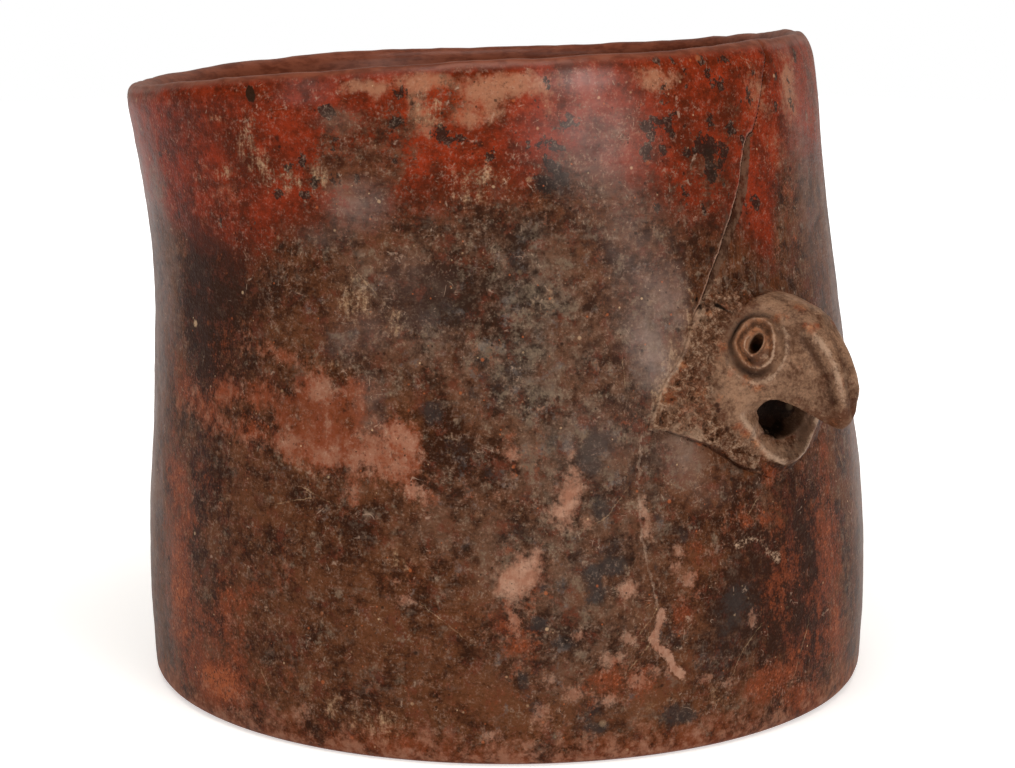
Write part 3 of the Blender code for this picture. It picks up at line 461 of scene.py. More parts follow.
def paintWall(mesh, points, outside):
    b = bearingOf(points)
    z = points[:, 2]
    edge = np.array(paintMap["slipEdge"])
    fill = np.array(paintMap["fill"])
    crack = besideLine(b, z, paintMap["upperCrack"])
    patch = np.maximum(ovals(b, z, paintMap["wornPatch"]), insideLoop(b, z, paintMap["lobe"]))
    branch = np.full(len(b), farOff)
    for line in paintMap["branches"]:
        near = besideLine(b, z, line)
        branch = np.where(np.abs(near) < np.abs(branch), near, branch)
    scuff = np.full(len(b), farOff)
    for line in paintMap["scuffs"]:
        scuff = np.minimum(scuff, np.abs(besideLine(b, z, line)))
    fields = {
        "slip": z - np.interp(b, edge[:, 0], edge[:, 1]),
        "slipGone": clouds(b, z, paintMap["slipGone"]),
        "filmAndSheen": clouds(b, z, paintMap["filmAndSheen"]),
        "tone": clouds(b, z, paintMap["tone"]),
        "warm": clouds(b, z, paintMap["warm"]),
        "cool": clouds(b, z, paintMap["cool"]),
        "gloss": clouds(b, z, paintMap["gloss"]) + 0.7 * np.clip((z - 146.0) / 1.6, 0, 1),
        "tan": clouds(b, z, paintMap["tanSlip"]),
        "streaky": clouds(b, z, paintMap["streaky"]),
        "ashen": clouds(b, z, paintMap["ashen"]),
        "clean": clouds(b, z, paintMap["clean"]),
        "blot": ovals(b, z, paintMap["blots"]),
        "drop": ovalLevel(b, z, (-33.45, 144.4, 1.25, 2.1, 5)),
        "pink": ovals(b, z, paintMap["pink"]),
        "pinkSoft": ovals(b, z, paintMap["pinkSoft"]),
        "patch": patch,
        "patchLight": clouds(b, z, paintMap["patchLight"]),
        "lobe": insideLoop(b, z, paintMap["lobe"]),
        "paleRub": ovals(b, z, paintMap["paleRub"]),
        "crack": crack,
        "mend": np.where(crack > 0, np.interp(z, fill[:, 0], fill[:, 1]) - crack, crack),
        "lowerCrack": besideLine(b, z, paintMap["lowerCrack"]),
        "channel": 1.05 - np.abs(besideLine(b, z, paintMap["channel"])),
        "branch": branch,
        "scuff": 1.2 - scuff,
        "jawCrack": np.abs(besideLine(b, z, paintMap["jawCrack"])),
        "smallHoleShade": ovals(b, z, paintMap["smallHoleShade"]),
        "mouth": clouds(b, z, paintMap["mouth"]),
        "plateEdge": np.abs(besideLine(b, z, paintMap["plateEdge"])),
        "inside": 1.0 - outside,
        "height": z,
    }
    layFields(mesh, fields)
    return fields


wallPiece = {
    "spacing": (  # degrees from column to column, by bearing
        (-180, 1.95), (-105, 1.95), (-82, 0.95), (-66, 0.76), (11, 0.76), (18, 0.37), (56, 0.37), (64, 0.7),
        (82, 1.1), (112, 1.95), (180, 1.95),
    ),
    "outerRows": 192, "innerRows": 20, "lipRows": 14, "roundRows": 5, "lipRoll": 6.0,
    "unevenness": 0.30, "lipUnevenness": 0.30, "crackDepth": 0.55, "crackWidth": 0.55, "crackStep": 0.40,
    "lowerCrackDepth": 0.30, "channelDepth": 0.45, "jawCrackDepth": 0.5,
    "mouthDent": 2.8, "mouthMiddle": (45.0, 72.5), "mouthReach": (7.0, 6.0),
}


def arcRows(centre, across, up, start, end, steps):
    turns = [start + (end - start) * step / steps for step in range(steps + 1)]
    return [(centre[0] + across * math.cos(t), centre[1] + up * math.sin(t)) for t in turns]


def wallProfile():
    p, w = potShape, wallPiece
    coveTop = p["floor"] + p["cove"]
    lipCentre = p["rimHeight"] - p["wall"] / 2
    lipMiddle = float(outerRadius(lipCentre)) - p["wall"] / 2
    innerFoot = float(outerRadius(coveTop)) - p["wall"]
    rows = [(0.0, p["floor"]), (innerFoot * 0.4, p["floor"]), (innerFoot * 0.7, p["floor"])]
    rows += arcRows((innerFoot - p["cove"], coveTop), p["cove"], p["cove"], -math.pi / 2, 0.0, w["roundRows"])
    inner = np.linspace(coveTop, lipCentre, w["innerRows"] + 1)[1:-1]
    rows += [(float(outerRadius(z)) - p["wall"], z) for z in inner]
    rows += arcRows((lipMiddle, lipCentre), p["wall"] / 2, p["wall"] / 2, math.pi, math.pi / 2, w["lipRows"] // 2)
    lipStart = p["rimHeight"] - w["lipRoll"]  # the outer edge is rolled over more slowly
    lipHalf = float(outerRadius(lipStart)) - lipMiddle
    rows += arcRows((lipMiddle, lipStart), lipHalf, w["lipRoll"], math.pi / 2, 0.0, w["lipRows"])[1:]
    outer = np.linspace(lipStart, p["footUp"], w["outerRows"] + 1)[1:-1]
    rows += [(float(outerRadius(z)), z) for z in outer]
    foot = float(outerRadius(p["footUp"])) - p["footOut"]
    rows += arcRows((foot, p["footUp"]), p["footOut"], p["footUp"], 0.0, -math.pi / 2, w["roundRows"])
    rows += [(foot * 0.6, 0.0), (0.0, 0.0)]
    return rows


def columnPlan():
    azimuth = np.linspace(0, 360, 7201)
    bearing = wrapped(azimuth - frontAzimuth)
    marks = np.array(wallPiece["spacing"])
    density = 1 / np.interp(bearing, marks[:, 0], marks[:, 1])
    counted = np.concatenate(([0], np.cumsum((density[1:] + density[:-1]) / 2 * (azimuth[1] - azimuth[0]))))
    return azimuth, counted


def buildWall():
    azimuth, counted = columnPlan()
    mesh = spun("potWall", wallProfile(), int(round(counted[-1])))
    mesh.shade_smooth()

    points = coordsOf(mesh)
    radius = np.hypot(points[:, 0], points[:, 1])
    turn = (np.degrees(np.arctan2(points[:, 1], points[:, 0])) / 360) % 1.0
    turn = np.radians(np.interp(turn * counted[-1], counted, azimuth))
    points = np.stack((radius * np.cos(turn), radius * np.sin(turn), points[:, 2]), 1)
    setCoords(mesh, points)

    p, w = potShape, wallPiece
    z = points[:, 2]
    outside = np.clip((radius - (outerRadius(z) - p["wall"] / 2)) / (p["wall"] / 2), 0, 1)
    lipShare = np.clip((z - (p["rimHeight"] - p["wall"])) / p["wall"], 0, 1)
    fields = paintWall(mesh, points, outside)

    relief = w["unevenness"] * cloudNoise(points, 26.0, 1) + 0.08 * cloudNoise(points, 6.0, 2)
    relief += w["lipUnevenness"] * lipShare * cloudNoise(points * (1, 1, 0.2), 9.0, 3)
    crack = fields["crack"]
    fresh = np.clip((z - 90) / 4, 0, 1)
    groove = w["crackDepth"] * np.exp(-(crack / w["crackWidth"]) ** 2) * fresh
    step = w["crackStep"] * np.clip(1 - crack / 14.0, 0, 1) * (crack > 0) * fresh
    lower = w["lowerCrackDepth"] * np.exp(-(fields["lowerCrack"] / 0.6) ** 2)
    channel = w["channelDepth"] * np.clip((fields["channel"] + 0.3) / 0.8, 0, 1)
    jaw = w["jawCrackDepth"] * np.exp(-(fields["jawCrack"] / 0.5) ** 2)
    u = wrapped(bearingOf(points) - w["mouthMiddle"][0]) * arcPerDegree / w["mouthReach"][0]
    dent = w["mouthDent"] * np.exp(-u ** 4 - ((z - w["mouthMiddle"][1]) / w["mouthReach"][1]) ** 4)
    relief -= outside * (groove + step + lower + channel + jaw + dent)
    relief *= np.clip(z / 6.0, 0, 1)
    points += normalsOf(mesh) * relief[:, None]
    setCoords(mesh, leaned(points) * mm)
    return newObject("potWall", mesh)


print("potWall: spinning the wall")
potWall = buildWall()
print("potWall:", countOf(potWall))


headPiece = {
    "bottom": 57.0, "tall": 41.2, "reach": 22.0, "width": 34.0, "flare": 3.4, "flareShare": 0.30,
    "jawNarrow": 0.20, "beakRound": 0.12,
    "crown": ((0.00, 1.003), (0.12, 0.993), (0.26, 0.976), (0.47, 0.943), (0.65, 0.875), (0.81, 0.780),
              (0.90, 0.700), (0.96, 0.620), (1.00, 0.520)),
    "throat": ((0.00, 0.020), (0.20, 0.090), (0.33, 0.135), (0.48, 0.200), (0.62, 0.265), (0.76, 0.310),
               (0.90, 0.345), (1.00, 0.440)),
    "flank": ((0.00, 1.00), (0.20, 0.84), (0.45, 0.58), (0.60, 0.41), (0.73, 0.30), (0.84, 0.24),
              (0.93, 0.20), (1.00, 0.16)),
    "gape": ((0.12, 0.400), (0.19, 0.448), (0.29, 0.476), (0.40, 0.478), (0.51, 0.450), (0.63, 0.392),
             (0.76, 0.343), (0.88, 0.318), (1.25, 0.300), (1.25, -0.10), (0.42, -0.10), (0.315, 0.115),
             (0.24, 0.225), (0.16, 0.330)),
    "mouthAt": (0.17, 0.385), "mouthHalf": (8.0, 9.0, 6.2), "mouthTurn": 30.0,
    "lipAt": (0.235, 0.250), "lipHalf": (2.2, 13.0, 6.4), "lipTurn": -21.0,
    "eyeAt": (0.205, 0.772), "eyeNarrow": 0.78, "eyeTurn": 36.0, "eyeLift": 14.0,
    "holeHalf": (1.35, 2.5, 4.5), "holeTurn": 24.0,
    "plateDepth": 2.7, "plateStep": 0.85, "voxel": 0.32, "coreEmbed": 2.9,
}


eyeMarks = {  # millimetres from the middle of the eye's hole: radius, width and strength; the shade marks are painted shade, the light marks painted highlights
    "innerRing": (2.9, 0.42, 0.45), "outerRing": (5.4, 0.50, 0.55), "bank": (8.5, 0.80, 0.40),
    "groove": (6.9, 1.15, 0.60), "innerShade": (4.2, 0.80, 0.85), "grooveShade": (6.65, 1.0, 0.98),
    "holeShade": (0.0, 1.5, 1.0), "innerLight": (2.6, 0.42, 1.3), "outerLight": (5.35, 0.40, 1.1),
    "bankLight": (8.5, 0.55, 0.75),
}


headMarks = {  # reach, distance from the middle and height above the head's foot
    "ridge": ((11.0, 4.6, 36.2), (12.6, 4.2, 35.2), (14.3, 3.8, 33.6), (16.1, 3.5, 31.3), (17.9, 3.3, 28.7),
              (19.1, 3.3, 26.4), (20.2, 3.1, 23.4), (20.9, 2.6, 20.7), (20.9, 1.8, 17.6)),
    "flankHollow": ((13.0, 5.9, 32.8), (15.0, 5.4, 29.8), (16.3, 5.2, 27.5), (17.4, 5.0, 24.8), (18.2, 4.8, 22.1),
                    (18.8, 4.2, 19.4)),
    "front": ((15.0, 0.0, 34.2), (18.4, 0.0, 31.0), (20.3, 0.0, 27.5), (21.5, 0.0, 23.3), (22.0, 0.0, 19.0)),
    "crevice": ((-4.1, 18.6, 40.8), (-3.4, 16.4, 39.6)),
    "jawRim": ((2.9, 14.1, 15.8), (3.6, 12.5, 13.5), (4.3, 10.4, 10.8), (4.6, 8.3, 8.3), (4.8, 5.9, 6.1),
               (4.9, 2.2, 3.9)),
    "crown": ((-2.0, 9.0, 39.3), (-1.9, 3.0, 40.2), (3.0, 0.0, 40.4), (8.0, 0.0, 39.7), (11.0, 0.0, 38.8)),
    "paler": (
        (5.3, 3.3, 4.9, 1.6, 0.7), (4.2, 10.8, 10.9, 1.4, 0.4), (6.2, 1.9, 6.8, 1.4, 0.5),
        (-2.3, 25.5, 11.7, 3.4, 0.9), (-1.1, 23.7, 13.7, 2.6, 0.6), (-2.5, 26.7, 17.4, 3.0, 0.5),
        (3.7, 1.0, 41.0, 2.4, 0.4), (4.3, 15.0, 22.9, 2.0, 0.4), (10.0, 8.5, 31.6, 0.8, 0.7),
        (9.6, 7.8, 33.6, 0.8, 0.6), (-3.6, 20.6, 38.6, 2.2, 0.8), (-4.0, 18.0, 42.0, 1.8, 0.6),
        (-4.6, 30.6, 19.0, 2.4, 0.5), (13.0, 6.5, 28.0, 3.4, 0.25), (-3.4, 29.0, 15.0, 1.6, 0.8),
        (20.6, 1.6, 24.0, 1.8, 0.35),
    ),
    "dimmer": (
        (18.2, 2.3, 15.4, 3.0, 1.0), (20.5, 1.5, 16.9, 2.4, 0.9), (15.4, 3.5, 15.9, 2.4, 0.75),
        (13.2, 5.2, 17.1, 2.0, 0.5), (21.0, 0.6, 19.6, 1.6, 0.7), (12.0, 6.8, 19.2, 1.6, 0.3),
        (0.6, 17.6, 11.4, 3.4, 0.5), (1.9, 12.0, 7.0, 3.0, 0.5), (-1.6, 8.0, 39.0, 3.4, 0.6),
        (-1.9, 12.0, 37.6, 3.0, 0.7), (-2.1, 15.0, 35.4, 2.6, 0.6), (-1.7, 22.0, 25.4, 2.6, 0.6),
        (-2.0, 19.6, 33.0, 2.4, 0.4), (0.6, 19.0, 16.0, 2.2, 0.5), (17.2, 4.6, 25.0, 1.6, 0.5),
        (-1.0, 20.4, 20.4, 1.8, 0.4),
    ),
    "rustSpots": (  # middle, size, strength
        (-1.0, 16.8, 30.9, 2.0, 0.75), (-0.6, 17.0, 28.0, 1.8, 0.6), (1.6, 16.2, 25.6, 1.6, 0.7),
        (4.1, 14.9, 24.1, 1.6, 0.75), (6.3, 13.2, 22.8, 1.5, 0.7), (8.5, 2.4, 39.1, 2.0, 0.65),
        (6.3, 7.4, 37.2, 1.3, 0.9), (7.6, 6.0, 37.0, 1.0, 0.7), (2.0, 14.0, 31.6, 1.8, 0.45),
        (5.6, 11.6, 33.4, 1.6, 0.55), (4.0, 13.0, 29.0, 1.6, 0.5), (13.4, 3.0, 35.8, 1.2, 0.8),
        (18.6, 2.8, 14.6, 2.0, 0.5), (3.4, 13.2, 12.2, 1.7, 1.0), (4.4, 10.2, 10.0, 1.7, 1.0),
        (4.5, 8.2, 7.4, 1.5, 0.7), (2.6, 15.0, 14.0, 1.5, 0.9), (13.0, 4.2, 34.9, 1.6, 0.9),
        (11.6, 4.6, 35.6, 1.2, 0.7), (-4.2, 30.0, 21.0, 2.2, 0.9), (-4.0, 26.6, 27.6, 1.8, 0.8),
        (-5.4, 31.6, 22.8, 1.4, 0.7), (-1.7, 22.6, 21.4, 2.2, 0.6), (0.0, 19.0, 20.4, 1.6, 0.6),
        (4.6, 11.0, 30.2, 1.6, 0.45), (3.6, 12.4, 33.6, 1.2, 0.4), (-4.0, 18.6, 37.8, 1.4, 0.7),
        (3.2, 15.6, 19.5, 1.6, 0.4), (14.8, 7.2, 24.0, 0.5, 0.8),
    ),
    "blackSpots": ((0.4, 19.9, 18.8, 0.7, 1.0), (0.5, 19.5, 17.6, 0.7, 1.0), (1.0, 17.1, 13.3, 0.8, 0.9),
                   (-4.2, 18.3, 39.9, 0.9, 1.0), (-3.9, 18.5, 38.8, 0.6, 0.8), (1.8, 15.6, 11.6, 0.5, 0.8)),
}


def alongLine(line, place):  # a smooth line through (place, value) pairs
    marks = np.array(line, float)
    x, y = marks[:, 0], marks[:, 1]
    last = len(x) - 1
    slope = np.array([(y[min(i + 1, last)] - y[max(i - 1, 0)]) / (x[min(i + 1, last)] - x[max(i - 1, 0)])
                      for i in range(last + 1)])
    start = np.clip(np.searchsorted(x, place, side="left") - 1, 0, last - 1)
    span = x[start + 1] - x[start]
    t = np.clip((place - x[start]) / span, 0, 1)
    value = (2 * t ** 3 - 3 * t ** 2 + 1) * y[start] + (3 * t ** 2 - 2 * t ** 3) * y[start + 1]
    value += (t ** 3 - 2 * t ** 2 + t) * span * slope[start]
    return value + (t ** 3 - t ** 2) * span * slope[start + 1]


def headSection(share):
    h = headPiece
    crown = h["tall"] * alongLine(h["crown"], share)
    throat = h["tall"] * alongLine(h["throat"], share)
    past = np.clip((share - 1 + h["beakRound"]) / h["beakRound"], 0, 1)
    closing = np.sqrt(1 - past ** 2)
    flare = h["flare"] * np.clip(1 - share / h["flareShare"], 0, 1) ** 2
    halfWidth = h["width"] / 2 * alongLine(h["flank"], share)
    return (crown + throat - flare) / 2, (crown - throat + flare) / 2 * closing, halfWidth * closing + flare


def wallFace():
    z = headPiece["bottom"] + headPiece["tall"] / 2
    shift = potShape["lean"] * (z / potShape["rimHeight"]) ** potShape["leanPower"]
    return float(outerRadius(z)) + shift * math.cos(math.radians(potShape["leanAzimuth"]))


def atHead(reach, side, height):
    h = headPiece
    return Vector((wallFace() + h["reach"] * reach, side, h["bottom"] + h["tall"] * height))


def headBall():
    h = headPiece
    bm = bmesh.new()
    bmesh.ops.create_uvsphere(bm, u_segments=112, v_segments=84, radius=1.0)
    mesh = meshFrom(bm, "headBall")
    ball = coordsOf(mesh)
    x, y, z = ball[:, 2], ball[:, 1], -ball[:, 0]  # the pole points out of the wall
    around = np.arctan2(z, y)
    share = np.maximum(x, 0)
    closing = np.where(x > 0, 1.0, np.sqrt(np.maximum(1 - np.abs(x) ** 6, 0)))
    middle, halfHeight, halfWidth = headSection(share)
    halfWidth = halfWidth * (1 - h["jawNarrow"] * np.maximum(-np.sin(around), 0))
    depth = np.where(x > 0, h["reach"] * x, (potShape["wall"] + h["width"] / 6) * x)
    points = np.stack((depth, halfWidth * closing * np.cos(around),
                       middle + halfHeight * closing * np.sin(around)), 1)
    setCoords(mesh, points + np.array(atHead(0, 0, 0)))
    return newObject("headBall", mesh)


def wallCore():
    p = potShape
    levels = np.linspace(p["rimHeight"], 0, 40)
    rows = [(float(outerRadius(z)) - headPiece["coreEmbed"], z) for z in levels]
    mesh = spun("wallCore", [(0.0, p["rimHeight"])] + rows + [(0.0, 0.0)], 180)
    setCoords(mesh, leaned(coordsOf(mesh)))
    return newObject("wallCore", mesh)


def lutingPlate():  # the clay that was smeared out round the head's root
    h = headPiece
    bm = bmesh.new()
    bmesh.ops.create_grid(bm, x_segments=90, y_segments=90, size=1.0)
    bmesh.ops.solidify(bm, geom=bm.faces[:], thickness=1.0)
    bmesh.ops.recalc_face_normals(bm, faces=bm.faces)
    mesh = meshFrom(bm, "lutingPlate")
    flat = coordsOf(mesh)
    top = flat[:, 2] > flat[:, 2].mean()
    x, y = flat[:, 0], flat[:, 1]
    u = x * np.sqrt(1 - y * y / 2)  # a square made round
    v = y * np.sqrt(1 - x * x / 2)
    share = np.hypot(u, v)
    angle = np.arctan2(v, u)
    middle = (44.0, 80.0)
    outline = np.array(paintMap["flangeEdge"])
    outU = (outline[:, 0] - middle[0]) * arcPerDegree
    outV = outline[:, 1] - middle[1]
    outAngle = np.arctan2(outV, outU)
    order = np.argsort(outAngle)
    reach = np.interp(angle, outAngle[order], np.hypot(outU, outV)[order], period=2 * math.pi)
    u, v = share * reach * np.cos(angle), share * reach * np.sin(angle)
    b, z = middle[0] + u / arcPerDegree, middle[1] + v
    left = np.clip(-(b - 38.0) / 6.0, 0, 1) * np.clip((98.5 - z) / 5.0, 0, 1)
    low = np.clip((66.0 - z) / 4.0, 0, 1) * np.clip((46.0 - b) / 4.0, 0, 1)
    crisp = np.maximum(left, low)
    edge = np.clip((share - 0.72) / 0.28, 0, 1)
    height = crisp * (h["plateStep"] + 0.5 * (1 - share)) + (1 - crisp) * (1.0 - 1.5 * edge)
    grown = np.stack((u, v, z), 1)
    height += 0.35 * cloudNoise(grown, 7.0, 8) * (1 - 0.5 * edge) + 0.15 * cloudNoise(grown, 2.2, 9)
    radius = outerRadius(z) + np.where(top, height, -h["plateDepth"])
    azimuth = np.radians(b + frontAzimuth)
    points = np.stack((radius * np.cos(azimuth), radius * np.sin(azimuth), z), 1)
    setCoords(mesh, leaned(points))
    return newObject("lutingPlate", mesh)


def gapeCutter():
    h = headPiece
    bm = bmesh.new()
    corners = [bm.verts.new(atHead(reach, -h["width"], height)) for reach, height in h["gape"]]
    face = bm.faces.new(corners)
    grown = bmesh.ops.extrude_face_region(bm, geom=[face])
    moved = [v for v in grown["geom"] if isinstance(v, bmesh.types.BMVert)]
    bmesh.ops.translate(bm, verts=moved, vec=(0, 2 * h["width"], 0))
    bm.faces.ensure_lookup_table()
    bmesh.ops.recalc_face_normals(bm, faces=bm.faces)
    mesh = meshFrom(bm, "gapeCutter")
    return newObject("gapeCutter", mesh)


def scoop(name, half, place):
    bm = bmesh.new()
    bmesh.ops.create_uvsphere(bm, u_segments=40, v_segments=24, radius=1.0)
    bmesh.ops.scale(bm, verts=bm.verts, vec=half)
    bmesh.ops.transform(bm, verts=bm.verts, matrix=place)
    return newObject(name, meshFrom(bm, name))


def eyeFrame(side):
    h = headPiece
    middle, halfHeight, halfWidth = (float(v) for v in headSection(np.array(h["eyeAt"][0])))
    rise = (h["tall"] * h["eyeAt"][1] - middle) / halfHeight
    centre = atHead(h["eyeAt"][0], side * halfWidth * math.sqrt(1 - rise ** 2), h["eyeAt"][1])
    turn, lift = math.radians(h["eyeTurn"]), math.radians(h["eyeLift"])
    level = Vector((math.sin(turn), side * math.cos(turn), 0))
    outward = level * math.cos(lift) + Vector((0, 0, math.sin(lift)))
    across = Vector((0, 0, 1)).cross(level)
    return Matrix.Translation(centre) @ Matrix((across, outward.cross(across), outward)).transposed().to_4x4()


def bump(distance, width):
    return np.exp(-(distance / width) ** 2)


def ringed(ring, name):
    radius, width, strength = eyeMarks[name]
    return strength * bump(ring - radius, width)


def beside3D(points, path):
    best = np.full(len(points), farOff)
    for start, end in zip(path, path[1:]):
        start, end = np.array(start), np.array(end)
        along = end - start
        share = np.clip((points - start) @ along / (along @ along), 0, 1)
        best = np.minimum(best, np.linalg.norm(points - start - share[:, None] * along, axis=1))
    return best


def spotted(points, spots):
    total = np.zeros(len(points))
    for x, y, z, size, strength in spots:
        total = np.maximum(total, strength * bump(np.linalg.norm(points - (x, y, z), axis=1), size))
    return total


def shapeHead(mesh):
    h, m = headPiece, headMarks
    points = coordsOf(mesh)
    normals = normalsOf(mesh)
    local = points - np.array(atHead(0, 0, 0))
    folded = np.stack((local[:, 0], np.abs(local[:, 1]), local[:, 2]), 1)
    back = upright(points)
    b, z = bearingOf(back), back[:, 2]
    proud = np.hypot(back[:, 0], back[:, 1]) - outerRadius(z)
    inFlange = insideLoop(b, z, paintMap["flangeEdge"])

    relief, paintedShade, worn, socket = (np.zeros(len(points)) for _ in range(4))
    for side in (1, -1):
        eye = np.array(eyeFrame(side).inverted())
        seen = points @ eye[:3, :3].T + eye[:3, 3]
        facing = np.clip((normals @ np.array(eyeFrame(side))[:3, 2] - 0.1) / 0.4, 0, 1)
        facing *= (np.abs(seen[:, 2]) < 9) * (local[:, 1] * side > 0)
        beakward, up = -side * seen[:, 0], seen[:, 1]
        turn = np.arctan2(up, beakward)
        ring = np.hypot(beakward / h["eyeNarrow"], up)
        ring = ring * (1 + 0.02 * np.sin(3 * turn + 1.0)) + 0.40 * cloudNoise(points, 3.6, 11, 2)
        arc = np.clip(-np.cos(turn - 0.25) * 1.8 - 0.3, 0, 1)  # the inner ring is whole on the wall's side only
        deepest = 0.55 + 0.45 * np.cos(turn - 2.4)  # the painted shade is darkest above and behind the eye, and under it
        deepest = np.maximum(deepest, 0.9 * np.clip(1.6 * np.cos(turn + 1.75) - 0.6, 0, 1))
        bank = np.clip(0.50 + 0.80 * np.cos(turn + 0.6), 0, 1)
        raised = arc * ringed(ring, "innerRing") + ringed(ring, "outerRing") + bank * ringed(ring, "bank")
        sunk = 0.60 * np.clip((4.7 - ring) / 0.8, 0, 1) + ringed(ring, "groove")
        rough = 0.25 * cloudNoise(points, 1.4, 12) * np.clip((4.6 - ring) / 0.6, 0, 1)
        relief += facing * (raised - sunk + rough)
        # painted shade in the eye's grooves and hole
        dark = (0.62 + 0.38 * np.cos(turn - 2.2)) * ringed(ring, "innerShade")
        dark += deepest * ringed(ring, "grooveShade") + ringed(ring, "holeShade")
        dark += 0.65 * bump(np.hypot(beakward + 1.0, up + 3.4), 1.5)
        socket = np.maximum(socket, facing * np.clip((6.2 - ring) / 1.2, 0, 1))
        paintedShade = np.maximum(paintedShade, facing * np.clip(dark, 0, 1))
        whole = 0.35 + 0.65 * np.clip(np.cos(turn + 0.15), 0, 1)  # the painted highlight is brightest towards the beak
        # painted highlights on the eye rings, kept in worn
        light = arc * ringed(ring, "innerLight") + whole * ringed(ring, "outerLight")
        light += bank * ringed(ring, "bankLight") + 0.8 * bump(np.hypot(beakward - 2.0, up + 2.6), 1.3)
        worn = np.maximum(worn, facing * np.clip(light, 0, 1.2))

    ridge = beside3D(folded, m["ridge"])
    flank = beside3D(folded, m["flankHollow"])
    front = beside3D(folded, m["front"])
    crevice = beside3D(folded, m["crevice"])
    rim = beside3D(folded, m["jawRim"])
    tip = np.linalg.norm(folded - (20.4, 0.0, 16.4), axis=1)
    relief += 0.30 * bump(ridge, 0.9) + 0.15 * bump(rim, 0.6) + 0.5 * bump(tip, 3.0)
    relief -= 0.60 * bump(flank, 1.15) + 1.15 * bump(front, 2.2) + 0.6 * bump(crevice, 1.1)
    grown = cloudNoise(points, 1.5, 13)
    neck = np.clip(inFlange / 1.0, 0, 1) * np.clip((2.6 - proud) / 1.8, 0, 1) * np.clip((46.0 - b) / 6.0, 0, 1)
    lumps = 0.70 * grown + 0.50 * cloudNoise(points * (1, 1, 1.8), 3.2, 14) + 0.45 * cloudNoise(points, 0.9, 16, 2)
    relief += neck * 1.2 * lumps
    relief += (1 - neck) * 0.05 * grown + 0.12 * cloudNoise(points, 5.0, 15)

    mouth = local - (h["mouthAt"][0] * h["reach"] - 0.4, 0, h["mouthAt"][1] * h["tall"] - 0.3)
    tilt = np.array(Matrix.Rotation(math.radians(h["mouthTurn"]), 3, "Y"))
    mouth = np.linalg.norm(mouth @ tilt / np.array(h["mouthHalf"]), axis=1)
    # painted shade deep in the mouth, darkest towards the back
    cavity = np.clip((1.05 - mouth) / 0.12, 0, 1)
    paintedShade = np.maximum(paintedShade, cavity * np.clip(1.15 - local[:, 0] / 8.0 - local[:, 1] / 16.0, 0.15, 1))
    # painted shade on the far jaw's inner side, low down
    shaded = np.clip((local[:, 1] + local[:, 0] * 0.5 - 4.0) / 3.0, 0, 1)
    shaded *= np.clip((0.5 - normals[:, 1]) / 0.3, 0, 1) * np.clip((h["tall"] * 0.42 - local[:, 2]) / 2.0, 0, 1)
    paintedShade = np.maximum(paintedShade, 0.60 * shaded * np.clip((1.9 - mouth) / 0.7, 0, 1))
    # painted shade in the crevice where the head's top meets the wall, and black spots
    creviceShadeAndSpots = np.maximum(0.6 * bump(crevice, 1.1), spotted(folded, m["blackSpots"]))
    # worn here is edge wear with painted highlights along the beak's ridge, the jaw's rim and the crown
    broad = np.interp(local[:, 2], (16, 34), (0.60, 0.95))
    lowEnd = np.interp(local[:, 2], (15, 21, 25), (0.2, 0.5, 1.0))
    worn = np.maximum(worn, 0.95 * lowEnd * bump(ridge, broad) * np.clip((36.2 - local[:, 2]) / 3.0, 0, 1))
    worn = np.maximum(worn, 1.15 * bump(rim, 1.0))
    worn = np.maximum(worn, 0.45 * bump(beside3D(folded, m["crown"]), 1.5))
    # painted shade in the beak's flank hollow, and a darker strip down its front
    shadedFlankDarkFront = np.maximum(1.0 * bump(flank, 1.2), 0.40 * bump(front, 2.3) * (ridge > 0.6))
    edge = np.clip(inFlange / 0.8, 0, 1) * (b < 40)
    topFade = np.clip((101.0 - z) / 6.0, 0, 1) * np.clip((58.5 - b) / 4.0, 0, 1)
    rightFade = np.clip((b - 42.0) / 8.0, 0, 1) * np.clip((1.3 - proud) / 1.0, 0, 1)
    handled = np.maximum(np.clip((proud - 1.2) / 1.6, 0, 1), edge * topFade) * (1 - 0.9 * rightFade)
    marks = {"paintedShade": paintedShade, "worn": worn, "shadedFlankDarkFront": shadedFlankDarkFront, "neck": neck, "handled": handled,
             "lumps": lumps, "creviceShadeAndSpots": creviceShadeAndSpots, "socket": socket, "stain": spotted(folded, m["rustSpots"]),
             "cast": spotted(folded, m["paler"]) - spotted(folded, m["dimmer"])}
    return points + normals * relief[:, None], marks


